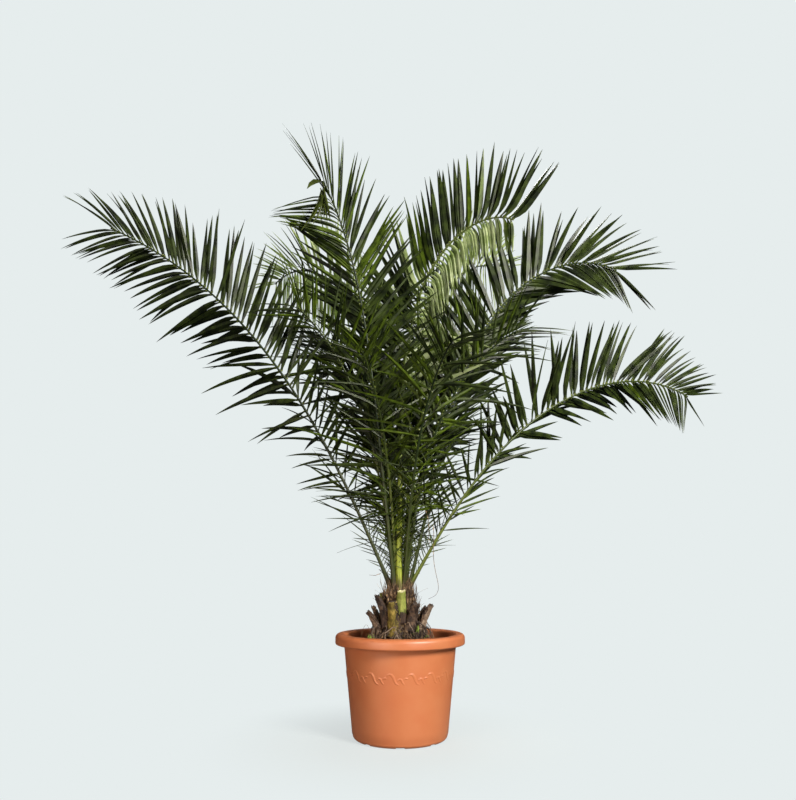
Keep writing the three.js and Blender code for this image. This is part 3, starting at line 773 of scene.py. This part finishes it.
FRONDS = [
    Frond("left_long", 188, 0, 24, 44, 1.9, 1.54, 62, 62, width=0.022, pitch=0.0175, tip_angle=17,
          rib_width=0.014, tints=(5, 3, 0, 2, 0), low_tints=(5, 3, 0, 2, 0)),
    Frond("right_low", 4.5, 25, 30, 79, 1.76, 1.43, -40, -60, 0.245, 64, width=0.024, pitch=0.017,
          rib="olive", pull=0.97, pulled=(0.7, 0.99), place=(-0.04, 0, -0.16), low_scale=0.85,
          low_angle=0.6, tints=(4, 4, 0, 2, 0), low_tints=(3, 4, 1, 2, 0)),
    Frond("right_high", 8, -25, 14, 114, 4.05, 1.45, -45, -75, width=0.027, pitch=0.0160,
          pull=0.97, pulled=(0.7, 0.99), place=(0.04, 0, -0.15), low_scale=0.85, low_angle=0.55,
          tints=(5, 4, 0, 1, 0), low_tints=(5, 3, 0, 2, 0)),
    Frond("front_right", 335, -12, 0.8, 126, 4.46, 1.41, -40, -85, 0.305, 70, -73,
          width=0.030, pitch=0.0145, tip_angle=62, narrowing=0, rib="bright", rib_width=0.022,
          pull=0.9, pulled=(0.55, 1.01), low_scale=0.48, lift=0.75,
          tints=(2, 4, 3, 0, 1), low_tints=(0, 0, 2, 0, 8)),
    Frond("front_left", 232, -3, 9.8, 33.6, 4.5, 1.31, 20, 30, 0.275, 53, pitch=0.016,
          tip_angle=9, narrowing=0.75, pull=0.95, pulled=(0.70, 0.95), place=(-0.19, 0, -0.06),
          low_scale=0.93, tints=(2, 4, 3, 1, 0), low_tints=(2, 4, 3, 1, 0)),
    Frond("back_left", 145, -15, 6, 100, 2.9, 1.60, 30, 50, foot_radius=0.020, foot_height=0.445,
          width=0.020, pull=0.6, tints=(0, 0, 1, 0, 9), low_tints=(0, 0, 1, 0, 9)),
    Frond("back_right", 45, 5, 3, 85, 2.6, 1.55, -20, -50, foot_radius=0.020, foot_height=0.445,
          pull=0.6, tints=(1, 2, 3, 1, 3), low_tints=(1, 2, 3, 1, 3)),
    Frond("back_high", 95, 0, 5, 66, 2.4, 1.42, 0, 15, 0.260, foot_radius=0.016, foot_height=0.450,
          width=0.018, pitch=0.022, tints=(0, 1, 3, 1, 5), low_tints=(0, 1, 3, 1, 5)),
    Frond("back_mid", 118, 0, 14, 78, 2.0, 1.35, 10, 15),
    Frond("back_deep", 98, 0, 21, 76, 1.8, 1.30, 4, 6),
    Frond("back_low", 76, 0, 30, 80, 1.8, 1.20, 0, -8),
    Frond("right_back", 56, 0, 13, 80, 2.0, 1.40, -12, -20),
    Frond("front_short", 288, 0, 12, 62, 2.0, 0.85, -10, -10, 0.230, foot_turn=8, width=0.015,
          pitch=0.023, first_leaflet=0.33, rib_width=0.012, tints=(1, 4, 3, 2, 0)),
    Frond("front_inner", 250, 0, 8, 46, 2.0, 0.76, 8, 10, 0.220, foot_turn=-15, foot_radius=0.020,
          foot_height=0.445, width=0.014, pitch=0.023, first_leaflet=0.34, rib="olive",
          rib_width=0.012, tints=(1, 2, 5, 2, 0), low_tints=(2, 3, 4, 1, 0)),
    Frond("inner_left", 208, 0, 8, 46, 2.2, 0.96, 20, 30, 0.250, foot_radius=0.020,
          foot_height=0.445, width=0.016, rib="olive", rib_width=0.013,
          tints=(1, 3, 4, 2, 0), low_tints=(2, 4, 3, 1, 0)),
    Frond("inner_right", 335, 0, 8, 60, 2.2, 0.92, -20, -30, 0.250, foot_radius=0.020,
          foot_height=0.445, width=0.016, rib_width=0.013,
          tints=(1, 4, 3, 2, 0), low_tints=(2, 4, 3, 1, 0)),
]
SWAY_POWER = 1.6
RIB_THICKNESS = 0.85           # of its width, at its foot
RIB_TIP_WIDTH = 5 * MM
RIB_TIP_THICKNESS = 3 * MM
RIB_TAPER = 0.55
RIB_ROOM = 8 * MM              # how far the rib may stray from the boxes of its CAD nodes
FOOT_TURNED_BY = 0.1           # the share of the rib over which it turns to its own heading
SHEATH = -0.03                 # the rib's foot runs this share of its length down into the crown
SHEATH_WIDTH = 42 * MM
SHEATH_END = 0.055
SHEATH_LEAN = -12
BLADE_START = 0.2
BLADE_RISE = 20
SPRAY = 5                      # leaflets that share a tint
CLUMP = 3                      # leaflets that lean together
LEAFLET_STATIONS = np.array([0, 0.018, 0.04, 0.1, 0.2, 0.33, 0.47, 0.61, 0.74, 0.86, 0.95, 1.0])
FOLD = 28                      # degrees that each half of a leaflet is folded up
UNRULY_TO = 0.95               # metres along the rib, up to which leaflets stick out unruly
UNRULY_FADE = 0.5
ANGLE_SPREAD = (3, 17)         # of orderly and of unruly leaflets, in degrees
RISE_SPREAD = (6, 32)
TWIST = (14, 24)               # its mean and its spread, in degrees
DROOP = (0.05, 0.3)
NARROWEST = 0.24               # the first leaflets' width, as a share of the full one
LENGTH_SPREAD = 0.045          # spreads are shares of the mean
UNRULY_LENGTH = (-0.25, 0.45)
WIDTH_SPREAD = 0.06
NARROWING_FROM = 0.78
NARROWING_OVER = 0.2
# pale is painted backlight, leaflets lit through from behind; the rib's shaded foot gets none
PALE_AND_BACKLIT_FROM = 0.42               # shares of the rib below which pale leaflets are bright instead
DEEP_AND_SHADED_FROM = 0.45               # and half of the deep ones are olive
STRAY_TINTS = 0.3              # the share of leaflets that differ in tint from their spray
# deep and bright leaflets are partly their own darker and lighter greens and partly painted shade and painted
# sunlight
DEEP_AND_SHADED, GREEN, BRIGHT_AND_LIT, OLIVE, PALE_AND_BACKLIT, UNDERSIDE, HINGE = range(7)
SPINE_START = 0.03
SPINE_PITCH = 11 * MM
SPINE_LENGTH_MM = (28, 90)     # at the foot and where the leaflets begin
SPINE_WIDTH_MM = (3.0, 5.0)
SPINE_ANGLE = (52, 10)
SPINE_RISE = (25, 28)


def leaf_skin(name, dark, light, seen_through, roughness=0.42):
    """The waxy skin of a palm leaflet: clouded green with a soft gloss, letting some light through."""
    material, tree, place = new_material(name)
    cloud = add_node(tree, "ShaderNodeTexNoise", {"Scale": 1 / (35 * MM), "Detail": 3.0}, {"Vector": place})
    colour = add_node(tree, "ShaderNodeValToRGB", None, {"Fac": cloud}, [(0.35, dark), (0.65, light)])
    gloss = {"Roughness": roughness, "Specular IOR Level": 0.34}
    leaf = add_node(tree, "ShaderNodeBsdfPrincipled", gloss, {"Base Color": colour})
    glow = add_node(tree, "ShaderNodeBsdfTranslucent", None, {"Color": colour})
    both = add_node(tree, "ShaderNodeMixShader", {0: seen_through}, {1: leaf, 2: glow})
    add_node(tree, "ShaderNodeOutputMaterial", None, {"Surface": both})
    return material


def rib_skin(name, foot, low, high):
    """The rib's smooth hard skin: brown where it clasps the crown, then green, half glossy."""
    material, tree, place = new_material(name)
    height = add_node(tree, "ShaderNodeSeparateXYZ", None, {0: place}).outputs["Z"]
    combed = add_node(tree, "ShaderNodeMapping", {"Scale": (1, 1, 0.12)}, {"Vector": place})
    streaks = add_node(tree, "ShaderNodeTexNoise", {"Scale": 1 / (7 * MM), "Detail": 3.0}, {"Vector": combed})
    waver = {"operation": "MULTIPLY_ADD", 1: 0.10}
    wavering = add_node(tree, "ShaderNodeMath", waver, {0: streaks, 2: height})
    greening = {"From Min": 0.45, "From Max": 0.95}
    climb = add_node(tree, "ShaderNodeMapRange", greening, {"Value": wavering})
    tones = [(0.06, foot), (1.0, high), (0.16, low), (0.45, low)]
    finish_surface(tree, climb, tones, {"Roughness": 0.38, "Specular IOR Level": 0.4})
    return material


def rib_facing(frond, share):
    """Which way the rib runs, its side and its upper face, at shares of its length."""
    held = np.clip(share, 0, 1)
    clasping = np.clip(share / SHEATH, 0, 1)
    turned = np.clip(share / FOOT_TURNED_BY, 0, 1)
    heading = frond.heading + frond.sway * held ** SWAY_POWER
    heading = np.radians(heading + (1 - turned) * frond.foot_turn)
    lean = frond.lean + frond.bend * held ** frond.curl
    lean = np.radians(lean + np.minimum(1, 1.5 * clasping) * (SHEATH_LEAN - frond.lean))
    roll = np.radians(frond.roll_foot + (frond.roll_tip - frond.roll_foot) * held)[..., None]
    ahead = np.stack([np.sin(lean) * np.cos(heading), np.sin(lean) * np.sin(heading), np.cos(lean)], -1)
    level = np.stack([-np.sin(heading), np.cos(heading), 0 * heading], -1)
    above = np.cross(ahead, level)
    return ahead, level * np.cos(roll) + above * np.sin(roll), above * np.cos(roll) - level * np.sin(roll)


def rib_points(frond, share):
    """Points on the rib's middle line at shares of its length, from its sheath to its tip."""
    fine = np.linspace(SHEATH, 1.0, 600)
    step = fine[1] - fine[0]
    runs = rib_facing(frond, (fine[1:] + fine[:-1]) / 2)[0] * step * frond.length
    line = np.concatenate([np.zeros((1, 3)), np.cumsum(runs, 0)])
    at_foot = [np.interp(0, fine, line[:, k]) for k in range(3)]
    foot_heading = math.radians(frond.heading + frond.foot_turn)
    line = line - at_foot + round_axis(frond.foot_radius, foot_heading, frond.foot_height)
    return np.stack([np.interp(share, fine, line[:, k]) for k in range(3)], -1)


def rib_half(frond, share):
    """Half the rib's width and thickness; its foot spreads into a clasping sheath."""
    taper = np.clip(share, 0, 1) ** RIB_TAPER
    spread = np.clip(1 - (share - SHEATH) / (SHEATH_END - SHEATH), 0, 1) ** 2
    width = frond.rib_width + (RIB_TIP_WIDTH - frond.rib_width) * taper
    width = width + (SHEATH_WIDTH - frond.rib_width) * spread
    thickness = RIB_THICKNESS * frond.rib_width * (1 - taper) + RIB_TIP_THICKNESS * taper
    return width / 2, thickness / 2


def in_its_box(frond, points):
    """Stops if the rib strays from the space that its own CAD nodes fill."""
    lower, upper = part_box(f"frond_{frond.name}_lower"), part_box(f"frond_{frond.name}_upper")
    low = np.minimum(lower[0], upper[0]) - RIB_ROOM
    high = np.maximum(lower[1], upper[1]) + RIB_ROOM
    if (points < low).any() or (points > high).any():
        raise ValueError(f"the rib of {frond.name} leaves the space of its CAD nodes")


def rib(frond, skin):
    """The rib: rounded below, channelled above, tapering from its sheath to a fine tip."""
    rows, columns = 90, 14
    share = np.linspace(0, 1, rows) ** 1.15 * (1 - SHEATH) + SHEATH
    centre = rib_points(frond, share)
    in_its_box(frond, centre[share > FOOT_TURNED_BY])
    _, side, upper = rib_facing(frond, share)
    half_width, half_thick = rib_half(frond, share)
    turn = full_turn(columns)
    across = np.cos(turn)
    channelled = 0.75 * np.sin(turn) - 0.25 * np.exp(-(across / 0.35) ** 2)
    over = np.where(np.sin(turn) > 0, channelled, np.sin(turn))
    sideways = (half_width[:, None] * across)[..., None] * side[:, None]
    upwards = (half_thick[:, None] * over)[..., None] * upper[:, None]
    points = centre[:, None] + sideways + upwards
    return make_piece(f"rib_{frond.name}", points, tube_faces(rows, columns), [skin])


def leaflet_angle(frond, share):
    """Degrees between rib and leaflet: wide along the blade, closing towards its tip."""
    closing = np.clip((share - 0.5) / 0.5, 0, 1) ** 2
    return frond.leaflet_angle + (frond.tip_angle - frond.leaflet_angle) * closing


def leaflet_length(frond, share):
    """Leaflets grow longer over the opening stretch and shorter towards the tip."""
    opening = np.clip((share - BLADE_START) / 0.35, -0.3, 1)
    closing = np.clip((share - 0.7) / 0.3, 0, 1)
    return frond.leaflet * (0.6 + 0.4 * opening) * (1 - 0.3 * closing ** 1.5)


def folded_leaves(frond, share, sign, length, width, angle, rise, twist, droop, pull, toward):
    """Points of folded leaflets, four round the section of each: edge, upper fold, edge, lower fold."""
    ahead, side, upper = rib_facing(frond, share)
    half_width, half_thick = rib_half(frond, share)
    sign = sign[:, None]
    out = side * np.cos(rise)[:, None] * sign + upper * np.sin(rise)[:, None]
    start = rib_points(frond, share) + side * sign * (0.75 * half_width)[:, None]
    start = start + upper * (0.25 * half_thick)[:, None]
    first = ahead * np.cos(angle)[:, None] + out * np.sin(angle)[:, None]
    t = LEAFLET_STATIONS
    pulled = (pull[:, None] * np.minimum(1, 3.5 * t))[..., None]
    heading = unit(first[:, None] * (1 - pulled) + toward[:, None] * pulled)
    heading = unit(heading + (droop[:, None] * t ** 1.5)[..., None] * np.array([0, 0, -1.0]))
    runs = (heading[:, 1:] + heading[:, :-1]) / 2 * np.diff(t)[:, None] * length[:, None, None]
    line = start[:, None] + np.concatenate([np.zeros((len(share), 1, 3)), np.cumsum(runs, 1)], 1)
    flat = unit(ahead[:, None] - (ahead[:, None] * heading).sum(-1, keepdims=True) * heading)
    face = np.cross(flat, heading) * -sign[:, None]
    face *= np.sign((face * upper[:, None]).sum(-1, keepdims=True))
    turn = (twist * sign[:, 0])[:, None, None] * (0.6 + 0.4 * t)[:, None]
    across = flat * np.cos(turn) + face * np.sin(turn)
    over = face * np.cos(turn) - flat * np.sin(turn)
    outline = np.minimum(1, 0.3 + 3.2 * t) * (1 - t ** 2.2) ** 0.85
    outline[:3] = (0.42, 0.40, 0.34)
    half = width[:, None] / 2 * outline
    fold = np.radians(FOLD) * np.minimum(1, t * 12)
    body = 0.4 * MM + 0.5 * MM * (1 - t)
    body[:3] += np.array([2.2, 2.0, 1.0]) * MM
    edge = (half * np.cos(fold))[..., None] * across
    lifted = (half * np.sin(fold))[..., None] * over
    thick = body[:, None] * over
    return np.stack([line - edge + lifted, line + thick, line + edge + lifted, line - thick], 2)


def gathered(frond, share, low_side):
    """How strongly each leaflet is pulled aside, from 0 to 1, and which way."""
    first, last = frond.pulled
    inside = np.clip((share - first) / 0.14, 0, 1) * (share < last)
    lift = frond.lift * (1 - 0.6 * np.clip((share - 0.84) / 0.16, 0, 1))
    pull = inside * np.where(low_side, frond.pull, lift)
    toward = np.tile((0, 0, -1.0), (len(share), 1))
    if frond.place:
        goal = rib_points(frond, np.array([min(last, 1)]))[0] + np.array(frond.place)
        toward = unit(goal - rib_points(frond, share))
    toward[~low_side] = (0, 0, 1.0)
    return pull, toward


def leaflet_tints(frond, share, low_side, own):
    """Each leaflet's tint: a spray of neighbours shares one, apart from some strays. Low on the rib, in
    shade, there are no pale leaflets painted as if lit from behind, and fewer deep ones."""
    count = len(share)
    spray = np.arange(count) // SPRAY
    weights = np.array([frond.tints, frond.low_tints]) / 10
    sprays = [own.choice(len(row), count // SPRAY + 2, p=row) for row in weights]
    tint = np.choose(low_side, [shared[spray] for shared in sprays])
    strays = [own.choice(len(row), count, p=row) for row in weights]
    tint = np.where(own.random(count) < STRAY_TINTS, np.choose(low_side, strays), tint)
    tint[(tint == PALE_AND_BACKLIT) & (share < PALE_AND_BACKLIT_FROM)] = BRIGHT_AND_LIT
    tint[(tint == DEEP_AND_SHADED) & (share < DEEP_AND_SHADED_FROM) & (own.random(count) < 0.5)] = OLIVE
    return tint


def leaflet_slots(tint):
    """A skin for each face: that of the hinge, then the tint above and a duller underside, which the
    bright and pale leaflets, letting more light through, don't have; their tints are partly painted light."""
    slots = np.empty((len(tint), len(LEAFLET_STATIONS) - 1, 4), int)
    slots[:, :, :2] = tint[:, None, None]
    slots[:, :, 2:] = np.where((tint == BRIGHT_AND_LIT) | (tint == PALE_AND_BACKLIT), tint, UNDERSIDE)[:, None, None]
    slots[:, :1] = HINGE
    return np.concatenate([slots.ravel(), np.repeat(tint, 2)])


def leaflets(frond, skins):
    """All leaflets of a frond, on both sides. Neighbours lean in clumps, and the lowest ones are
    narrow and stick out unruly."""
    own = np.random.default_rng(sum(map(ord, frond.name)))
    a_side = int(frond.length * (1 - frond.first_leaflet) / frond.pitch)
    count = 2 * a_side
    along = np.linspace(0, 0.985, a_side)
    share = np.tile(frond.first_leaflet + (1 - frond.first_leaflet) * (1 - (1 - along) ** 1.2), 2)
    sign = np.repeat([1.0, -1.0], a_side)
    share = share + own.normal(0, 0.25, count) * frond.pitch / frond.length
    share = np.clip(share, frond.first_leaflet, 1)
    unruly = np.clip((UNRULY_TO - share * frond.length) / UNRULY_FADE, 0, 1)
    length = leaflet_length(frond, share) * own.normal(1, LENGTH_SPREAD, count)
    length *= 1 + unruly * own.uniform(*UNRULY_LENGTH, count)
    low_side = rib_facing(frond, share)[1][:, 2] * sign < 0
    pull, toward = gathered(frond, share, low_side)
    shrunk = 1 + (frond.low_scale - 1) * pull * low_side
    length *= shrunk
    width = frond.width * own.normal(1, WIDTH_SPREAD, count)
    width *= np.clip(NARROWEST + 2.1 * (share - frond.first_leaflet), NARROWEST, 1)
    width *= shrunk * (1 - frond.narrowing * np.clip((share - NARROWING_FROM) / NARROWING_OVER, 0, 1))
    orderly, wild = (own.normal(0, spread, count) for spread in ANGLE_SPREAD)
    angle = leaflet_angle(frond, share) + orderly + unruly * wild
    orderly, wild = (own.normal(0, spread, count) for spread in RISE_SPREAD)
    rise = BLADE_RISE + orderly + unruly * wild
    clump = np.arange(count) // CLUMP
    angle += own.normal(0, ANGLE_SPREAD[0], count)[clump]
    rise += own.normal(0, RISE_SPREAD[0], count)[clump]
    rise *= 1 - 0.6 * pull
    angle *= np.where(low_side, frond.low_angle, 1)
    angle, rise = np.radians(angle), np.radians(rise)
    twist = np.radians(own.normal(*TWIST, count))
    droop = own.uniform(*DROOP, count)
    points = folded_leaves(frond, share, sign, length, width, angle, rise, twist, droop, pull, toward)
    slots = leaflet_slots(leaflet_tints(frond, share, low_side, own))
    faces = tube_faces(len(LEAFLET_STATIONS), 4, count)
    piece = make_piece(f"leaflets_{frond.name}", points, faces, skins, slots)
    crease_lengthwise(piece.data)
    return piece


def crease_lengthwise(mesh):
    """Sharp edges along every leaflet, so that its two halves and two faces shade apart."""
    ends = np.empty(2 * len(mesh.edges), np.int32)
    mesh.edges.foreach_get("vertices", ends)
    ends = ends.reshape(-1, 2)
    sharp = mesh.attributes.new("sharp_edge", "BOOLEAN", "EDGE")
    sharp.data.foreach_set("value", np.abs(ends[:, 0] - ends[:, 1]) == 4)


def spines(frond, skin):
    """Spines: leaflets stunted to stiff green daggers, in loose pairs along the rib's foot."""
    own = np.random.default_rng(sum(map(ord, frond.name)) + 1)
    a_side = int(frond.length * (frond.first_leaflet - SPINE_START) / SPINE_PITCH)
    count = 2 * a_side
    share = np.tile(np.linspace(SPINE_START, frond.first_leaflet, a_side), 2)
    sign = np.repeat([1.0, -1.0], a_side)
    climb = (share - SPINE_START) / (frond.first_leaflet - SPINE_START)
    length = np.interp(climb, (0, 1), SPINE_LENGTH_MM) * MM * own.uniform(0.7, 1.25, count)
    width = np.interp(climb, (0, 1), SPINE_WIDTH_MM) * MM
    angle = np.radians(own.normal(*SPINE_ANGLE, count))
    rise = np.radians(own.normal(*SPINE_RISE, count))
    none = np.zeros(count)
    down = np.tile((0, 0, -1.0), (count, 1))
    points = folded_leaves(frond, share, sign, length, width, angle, rise, none, none, none, down)
    faces = tube_faces(len(LEAFLET_STATIONS), 4, count)
    return make_piece(f"spines_{frond.name}", points, faces, [skin])


rib_skins = {
    # the dark rib, which most fronds have, is partly its own dark green and partly painted shade for the
    # shade among the fronds
    "dark": rib_skin("dark_rib", "#33241f", "#333d18", "#26341a"),
    "olive": rib_skin("olive_rib", "#3d2b20", "#5b6628", "#3c4a20"),
    "bright": rib_skin("bright_rib", "#4b3a20", "#93a034", "#5c6b30"),
}
leaf_skins = [
    # deep: partly the leaflets' own dark green, partly painted shade
    leaf_skin("palm_leaf_deep", "#060d02", "#152206", 0.06),
    leaf_skin("palm_leaf_green", "#121e04", "#344e0c", 0.1),
    # bright: partly their own yellow green, partly painted sunlight
    leaf_skin("palm_leaf_bright", "#2c3b08", "#5b7019", 0.2),
    leaf_skin("palm_leaf_olive", "#202808", "#556224", 0.1),
    # pale: painted backlight, a light glow of leaflets lit from behind, over the real light let through
    leaf_skin("palm_leaf_pale", "#94a860", "#ced8a8", 0.5),
    leaf_skin("palm_leaf_underside", "#121c07", "#3c4a1a", 0.1, 0.46),
    # the swollen leaflet base: hard and waxy, of a duller yellow green
    clouded_skin("leaflet_hinge", 12 * MM, 0.45, [(0.35, "#4a5423"), (0.65, "#7a843e")]),
]
for frond in FRONDS:
    stem = rib(frond, rib_skins[frond.rib])
    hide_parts(f"frond_{frond.name}_lower", f"frond_{frond.name}_upper")
    # ribs not painted dark get spines of the bright skin, which is partly painted sunlight
    spine_skin = leaf_skins[OLIVE if frond.rib == "dark" else BRIGHT_AND_LIT]
    for piece in (stem, leaflets(frond, leaf_skins), spines(frond, spine_skin)):
        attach(piece, "root")

# ---- Spear leaf ----------------------------------------------------------------------------
# The next frond, still shut: a straight yellow-green spear of leaflets folded tightly together
# along a young rib, in the very middle of the crown.
SPEAR_LOW, SPEAR_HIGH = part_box("spear_leaf")
SPEAR_FOLDS = 16
SPEAR_PLEAT = 0.16             # how deep the folds are, as a share of the radius
SPEAR_HALF = 10 * MM


def spear_leaf(skin):
    """A pleated spear: thickest a quarter of the way up, drawn out to a point."""
    rows, columns = 60, SPEAR_FOLDS * 4
    climb = np.linspace(0, 1, rows)[:, None]
    turn = full_turn(columns)
    pleat = 1 + SPEAR_PLEAT * np.cos(SPEAR_FOLDS * turn + 5 * climb)
    radius = SPEAR_HALF * (0.65 + 0.6 * climb) * np.clip(1.02 - climb, 0, 1) ** 0.6 * pleat
    middle = (SPEAR_LOW + SPEAR_HIGH) / 2
    top_lean = (SPEAR_HIGH.y - middle.y) * climb
    x = middle.x + radius * np.cos(turn)
    y = 0.5 * (middle.y + SPEAR_LOW.y) + top_lean + 0.7 * radius * np.sin(turn)
    height = SPEAR_LOW.z + (SPEAR_HIGH.z - SPEAR_LOW.z) * climb
    points = np.stack([x, y, height + 0 * x], -1)
    return make_piece("spear", points, tube_faces(rows, columns), [skin])


spear = spear_leaf(leaf_skins[BRIGHT_AND_LIT])
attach(spear, "root")
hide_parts("spear_leaf")

# ---- Loose threads and a torn spray --------------------------------------------------------
# Long dry threads split off the edges of the young fronds and hang from them in curls, and by
# the tip of the front left frond a torn spray of thin leaflets hangs down, one of them curled up.
#
# each thread: its points in metres, from where it hangs to its free end
THREADS = [
    [(0.104, -0.02, 0.640), (0.108, -0.03, 0.590), (0.103, -0.035, 0.540), (0.108, -0.04, 0.490),
     (0.120, -0.045, 0.445), (0.116, -0.05, 0.420), (0.098, -0.05, 0.408), (0.084, -0.05, 0.404)],
    [(0.082, -0.01, 0.680), (0.092, -0.02, 0.640), (0.090, -0.03, 0.585), (0.098, -0.03, 0.550)],
    [(-0.06, -0.04, 0.480), (-0.078, -0.05, 0.474), (-0.096, -0.055, 0.476)],
]
THREAD_HALF = 1.0 * MM
TORN_LEAFLETS = 17
TORN_FOOT = (-0.242, -0.290, 1.655)
TORN_TIPS = [(-0.316, -0.275, 1.526), (-0.215, -0.275, 1.560)]
TORN_BOW = (0.07, -0.02, 0.02)
CURLED_FOOT = (-0.248, -0.293, 1.682)
CURLED_TIP = (-0.292, -0.290, 1.656)
CURLED_BOW = (-0.02, 0, 0.035)
CURLED_HALF_MM = 9


def loose_threads(straw):
    """Each thread as a thin tube on a smooth curve through its points."""
    shares = np.linspace(0, 1, 40)
    smoothing = np.ones(7) / 7
    routes = []
    for thread in THREADS:
        at = np.linspace(0, 1, len(thread))
        straight = [np.pad(np.interp(shares, at, values), 3, "edge") for values in zip(*thread)]
        routes.append(np.stack([np.convolve(values, smoothing, "valid") for values in straight], -1))
    radii = THREAD_HALF * (1.1 - 0.7 * shares)[None].repeat(len(routes), 0)
    points, faces = tubes(np.array(routes), radii, 5, 9)
    return make_piece("loose_threads", points, faces, [straw])


def torn_spray(skin):
    """A fan of hanging leaflets, and the curled one above it."""
    along = np.linspace(0, 1, TORN_LEAFLETS)[:, None]
    feet = np.array(TORN_FOOT) + dice.normal(0, 4, (TORN_LEAFLETS, 3)) * MM
    tips = np.array(TORN_TIPS[0]) * (1 - along) + np.array(TORN_TIPS[1]) * along
    tips = tips + dice.normal(0, 7, (TORN_LEAFLETS, 3)) * MM
    bow = np.array(TORN_BOW) * (1 - along)
    feet = np.vstack([feet, CURLED_FOOT])
    tips = np.vstack([tips, CURLED_TIP])
    bow = np.vstack([bow, CURLED_BOW])
    half = np.append(dice.uniform(3, 5, TORN_LEAFLETS), CURLED_HALF_MM) * MM
    points, faces = blades(feet, tips, half, bow, 36)
    return make_piece("torn_spray", points, faces, [skin], smooth=False)


threads = loose_threads(straw)
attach(threads, "root")
spray = torn_spray(leaf_skins[OLIVE])
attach(spray, "root")

# ---- Camera, floor and light ---------------------------------------------------------------
# A low camera looking slightly up, over a plain pale floor. One large soft light stands at the
# right of the front, a weak one at the left and one overhead, and two small low ones, narrowed,
# lift the planter and the shade on its left.
BACKDROP = "#e6eded"
FLOOR_PAINT = "#ccd4d4"
CAMERA_PLACE = (-0.0065, -2.281, 0.516)
CAMERA_PITCH = 13.0
LENS_MM = 31.5
SHADOW_REACH = (0.17, 0.65)      # metres from the pot's axis over which the shadow fades out
SHADOW_SHARE = 0.24
FLOOR_BOUNCE = 0.07
FLOOR_HALF = 60.0
SKY_LIGHT = "#e4ecee"
SKY_STRENGTH = 0.03

scene = bpy.context.scene
scene.view_settings.view_transform = "Standard"
camera_data = bpy.data.cameras.new("camera")
camera_data.lens = LENS_MM
camera_data.sensor_width = 36
camera_data.clip_end = 200
camera = bpy.data.objects.new("camera", camera_data)
camera.location = CAMERA_PLACE
camera.rotation_euler = (math.radians(90 + CAMERA_PITCH), 0, 0)
scene.collection.objects.link(camera)
scene.camera = camera


def studio_floor():
    """A wide pale floor that evens out its own shading. Round the planter it takes part of its
    brightness from the lights, so that a soft shadow shows there."""
    material, tree, place = new_material("studio_floor")
    away = add_node(tree, "ShaderNodeVectorMath", {"operation": "LENGTH"}, {0: place}).outputs["Value"]
    fading = {
        "interpolation_type": "SMOOTHSTEP", "From Min": SHADOW_REACH[0], "From Max": SHADOW_REACH[1],
        "To Min": SHADOW_SHARE, "To Max": 0.0,
    }
    share = add_node(tree, "ShaderNodeMapRange", fading, {"Value": away})
    seen = add_node(tree, "ShaderNodeLightPath").outputs["Is Camera Ray"]
    strength = add_node(tree, "ShaderNodeMapRange", {"To Min": FLOOR_BOUNCE, "To Max": 1.0}, {"Value": seen})
    glow = add_node(tree, "ShaderNodeEmission", {"Color": linear(BACKDROP)}, {"Strength": strength})
    matt = add_node(tree, "ShaderNodeBsdfDiffuse", {"Color": linear(FLOOR_PAINT)})
    both = add_node(tree, "ShaderNodeMixShader", None, {0: share, 1: glow, 2: matt})
    add_node(tree, "ShaderNodeOutputMaterial", None, {"Surface": both})
    half = FLOOR_HALF
    points = [(-half, -half, 0), (half, -half, 0), (half, half, 0), (-half, half, 0)]
    return make_piece("studio_floor", points, [[(0, 1, 2, 3)]], [material], smooth=False)


def softbox(name, place, target, size, power, colour, spread=180):
    """A square area light at a place, turned to a target; a narrow spread keeps it off the rest."""
    lamp = bpy.data.lights.new(name, "AREA")
    lamp.shape = "SQUARE"
    lamp.size = size
    lamp.energy = power
    lamp.spread = math.radians(spread)
    lamp.color = linear(colour)[:3]
    light = bpy.data.objects.new(name, lamp)
    light.location = place
    light.rotation_euler = (Vector(target) - Vector(place)).to_track_quat("-Z", "Y").to_euler()
    scene.collection.objects.link(light)


studio_floor()
softbox("key_light", (2.4, -3.0, 2.5), (0, 0, 0.8), 1.3, 300, "#fffaf2")
softbox("pot_light", (1.1, -2.2, 0.35), (0, 0, 0.1), 0.8, 0.5, "#fffaf2", 32)
softbox("fill_light", (-2.4, -2.2, 1.8), (0, 0, 0.7), 2.0, 15, "#fff4ea")
softbox("bounce_card", (-0.9, -1.5, 0.2), (0, 0, 0.15), 1.0, 2.8, "#ffe6d2", 60)
softbox("top_light", (0.3, 1.6, 3.9), (0, 0, 0.9), 1.4, 130, "#ffffff")

world = bpy.data.worlds.new("studio")
world.use_nodes = True
scene.world = world
air = world.node_tree
air.nodes.clear()
seen = add_node(air, "ShaderNodeBackground", {"Color": linear(BACKDROP), "Strength": 1.0})
lighting = add_node(air, "ShaderNodeBackground", {"Color": linear(SKY_LIGHT), "Strength": SKY_STRENGTH})
ray = add_node(air, "ShaderNodeLightPath").outputs["Is Camera Ray"]
sky = add_node(air, "ShaderNodeMixShader", None, {0: ray, 1: lighting, 2: seen})
add_node(air, "ShaderNodeOutputWorld", None, {"Surface": sky})
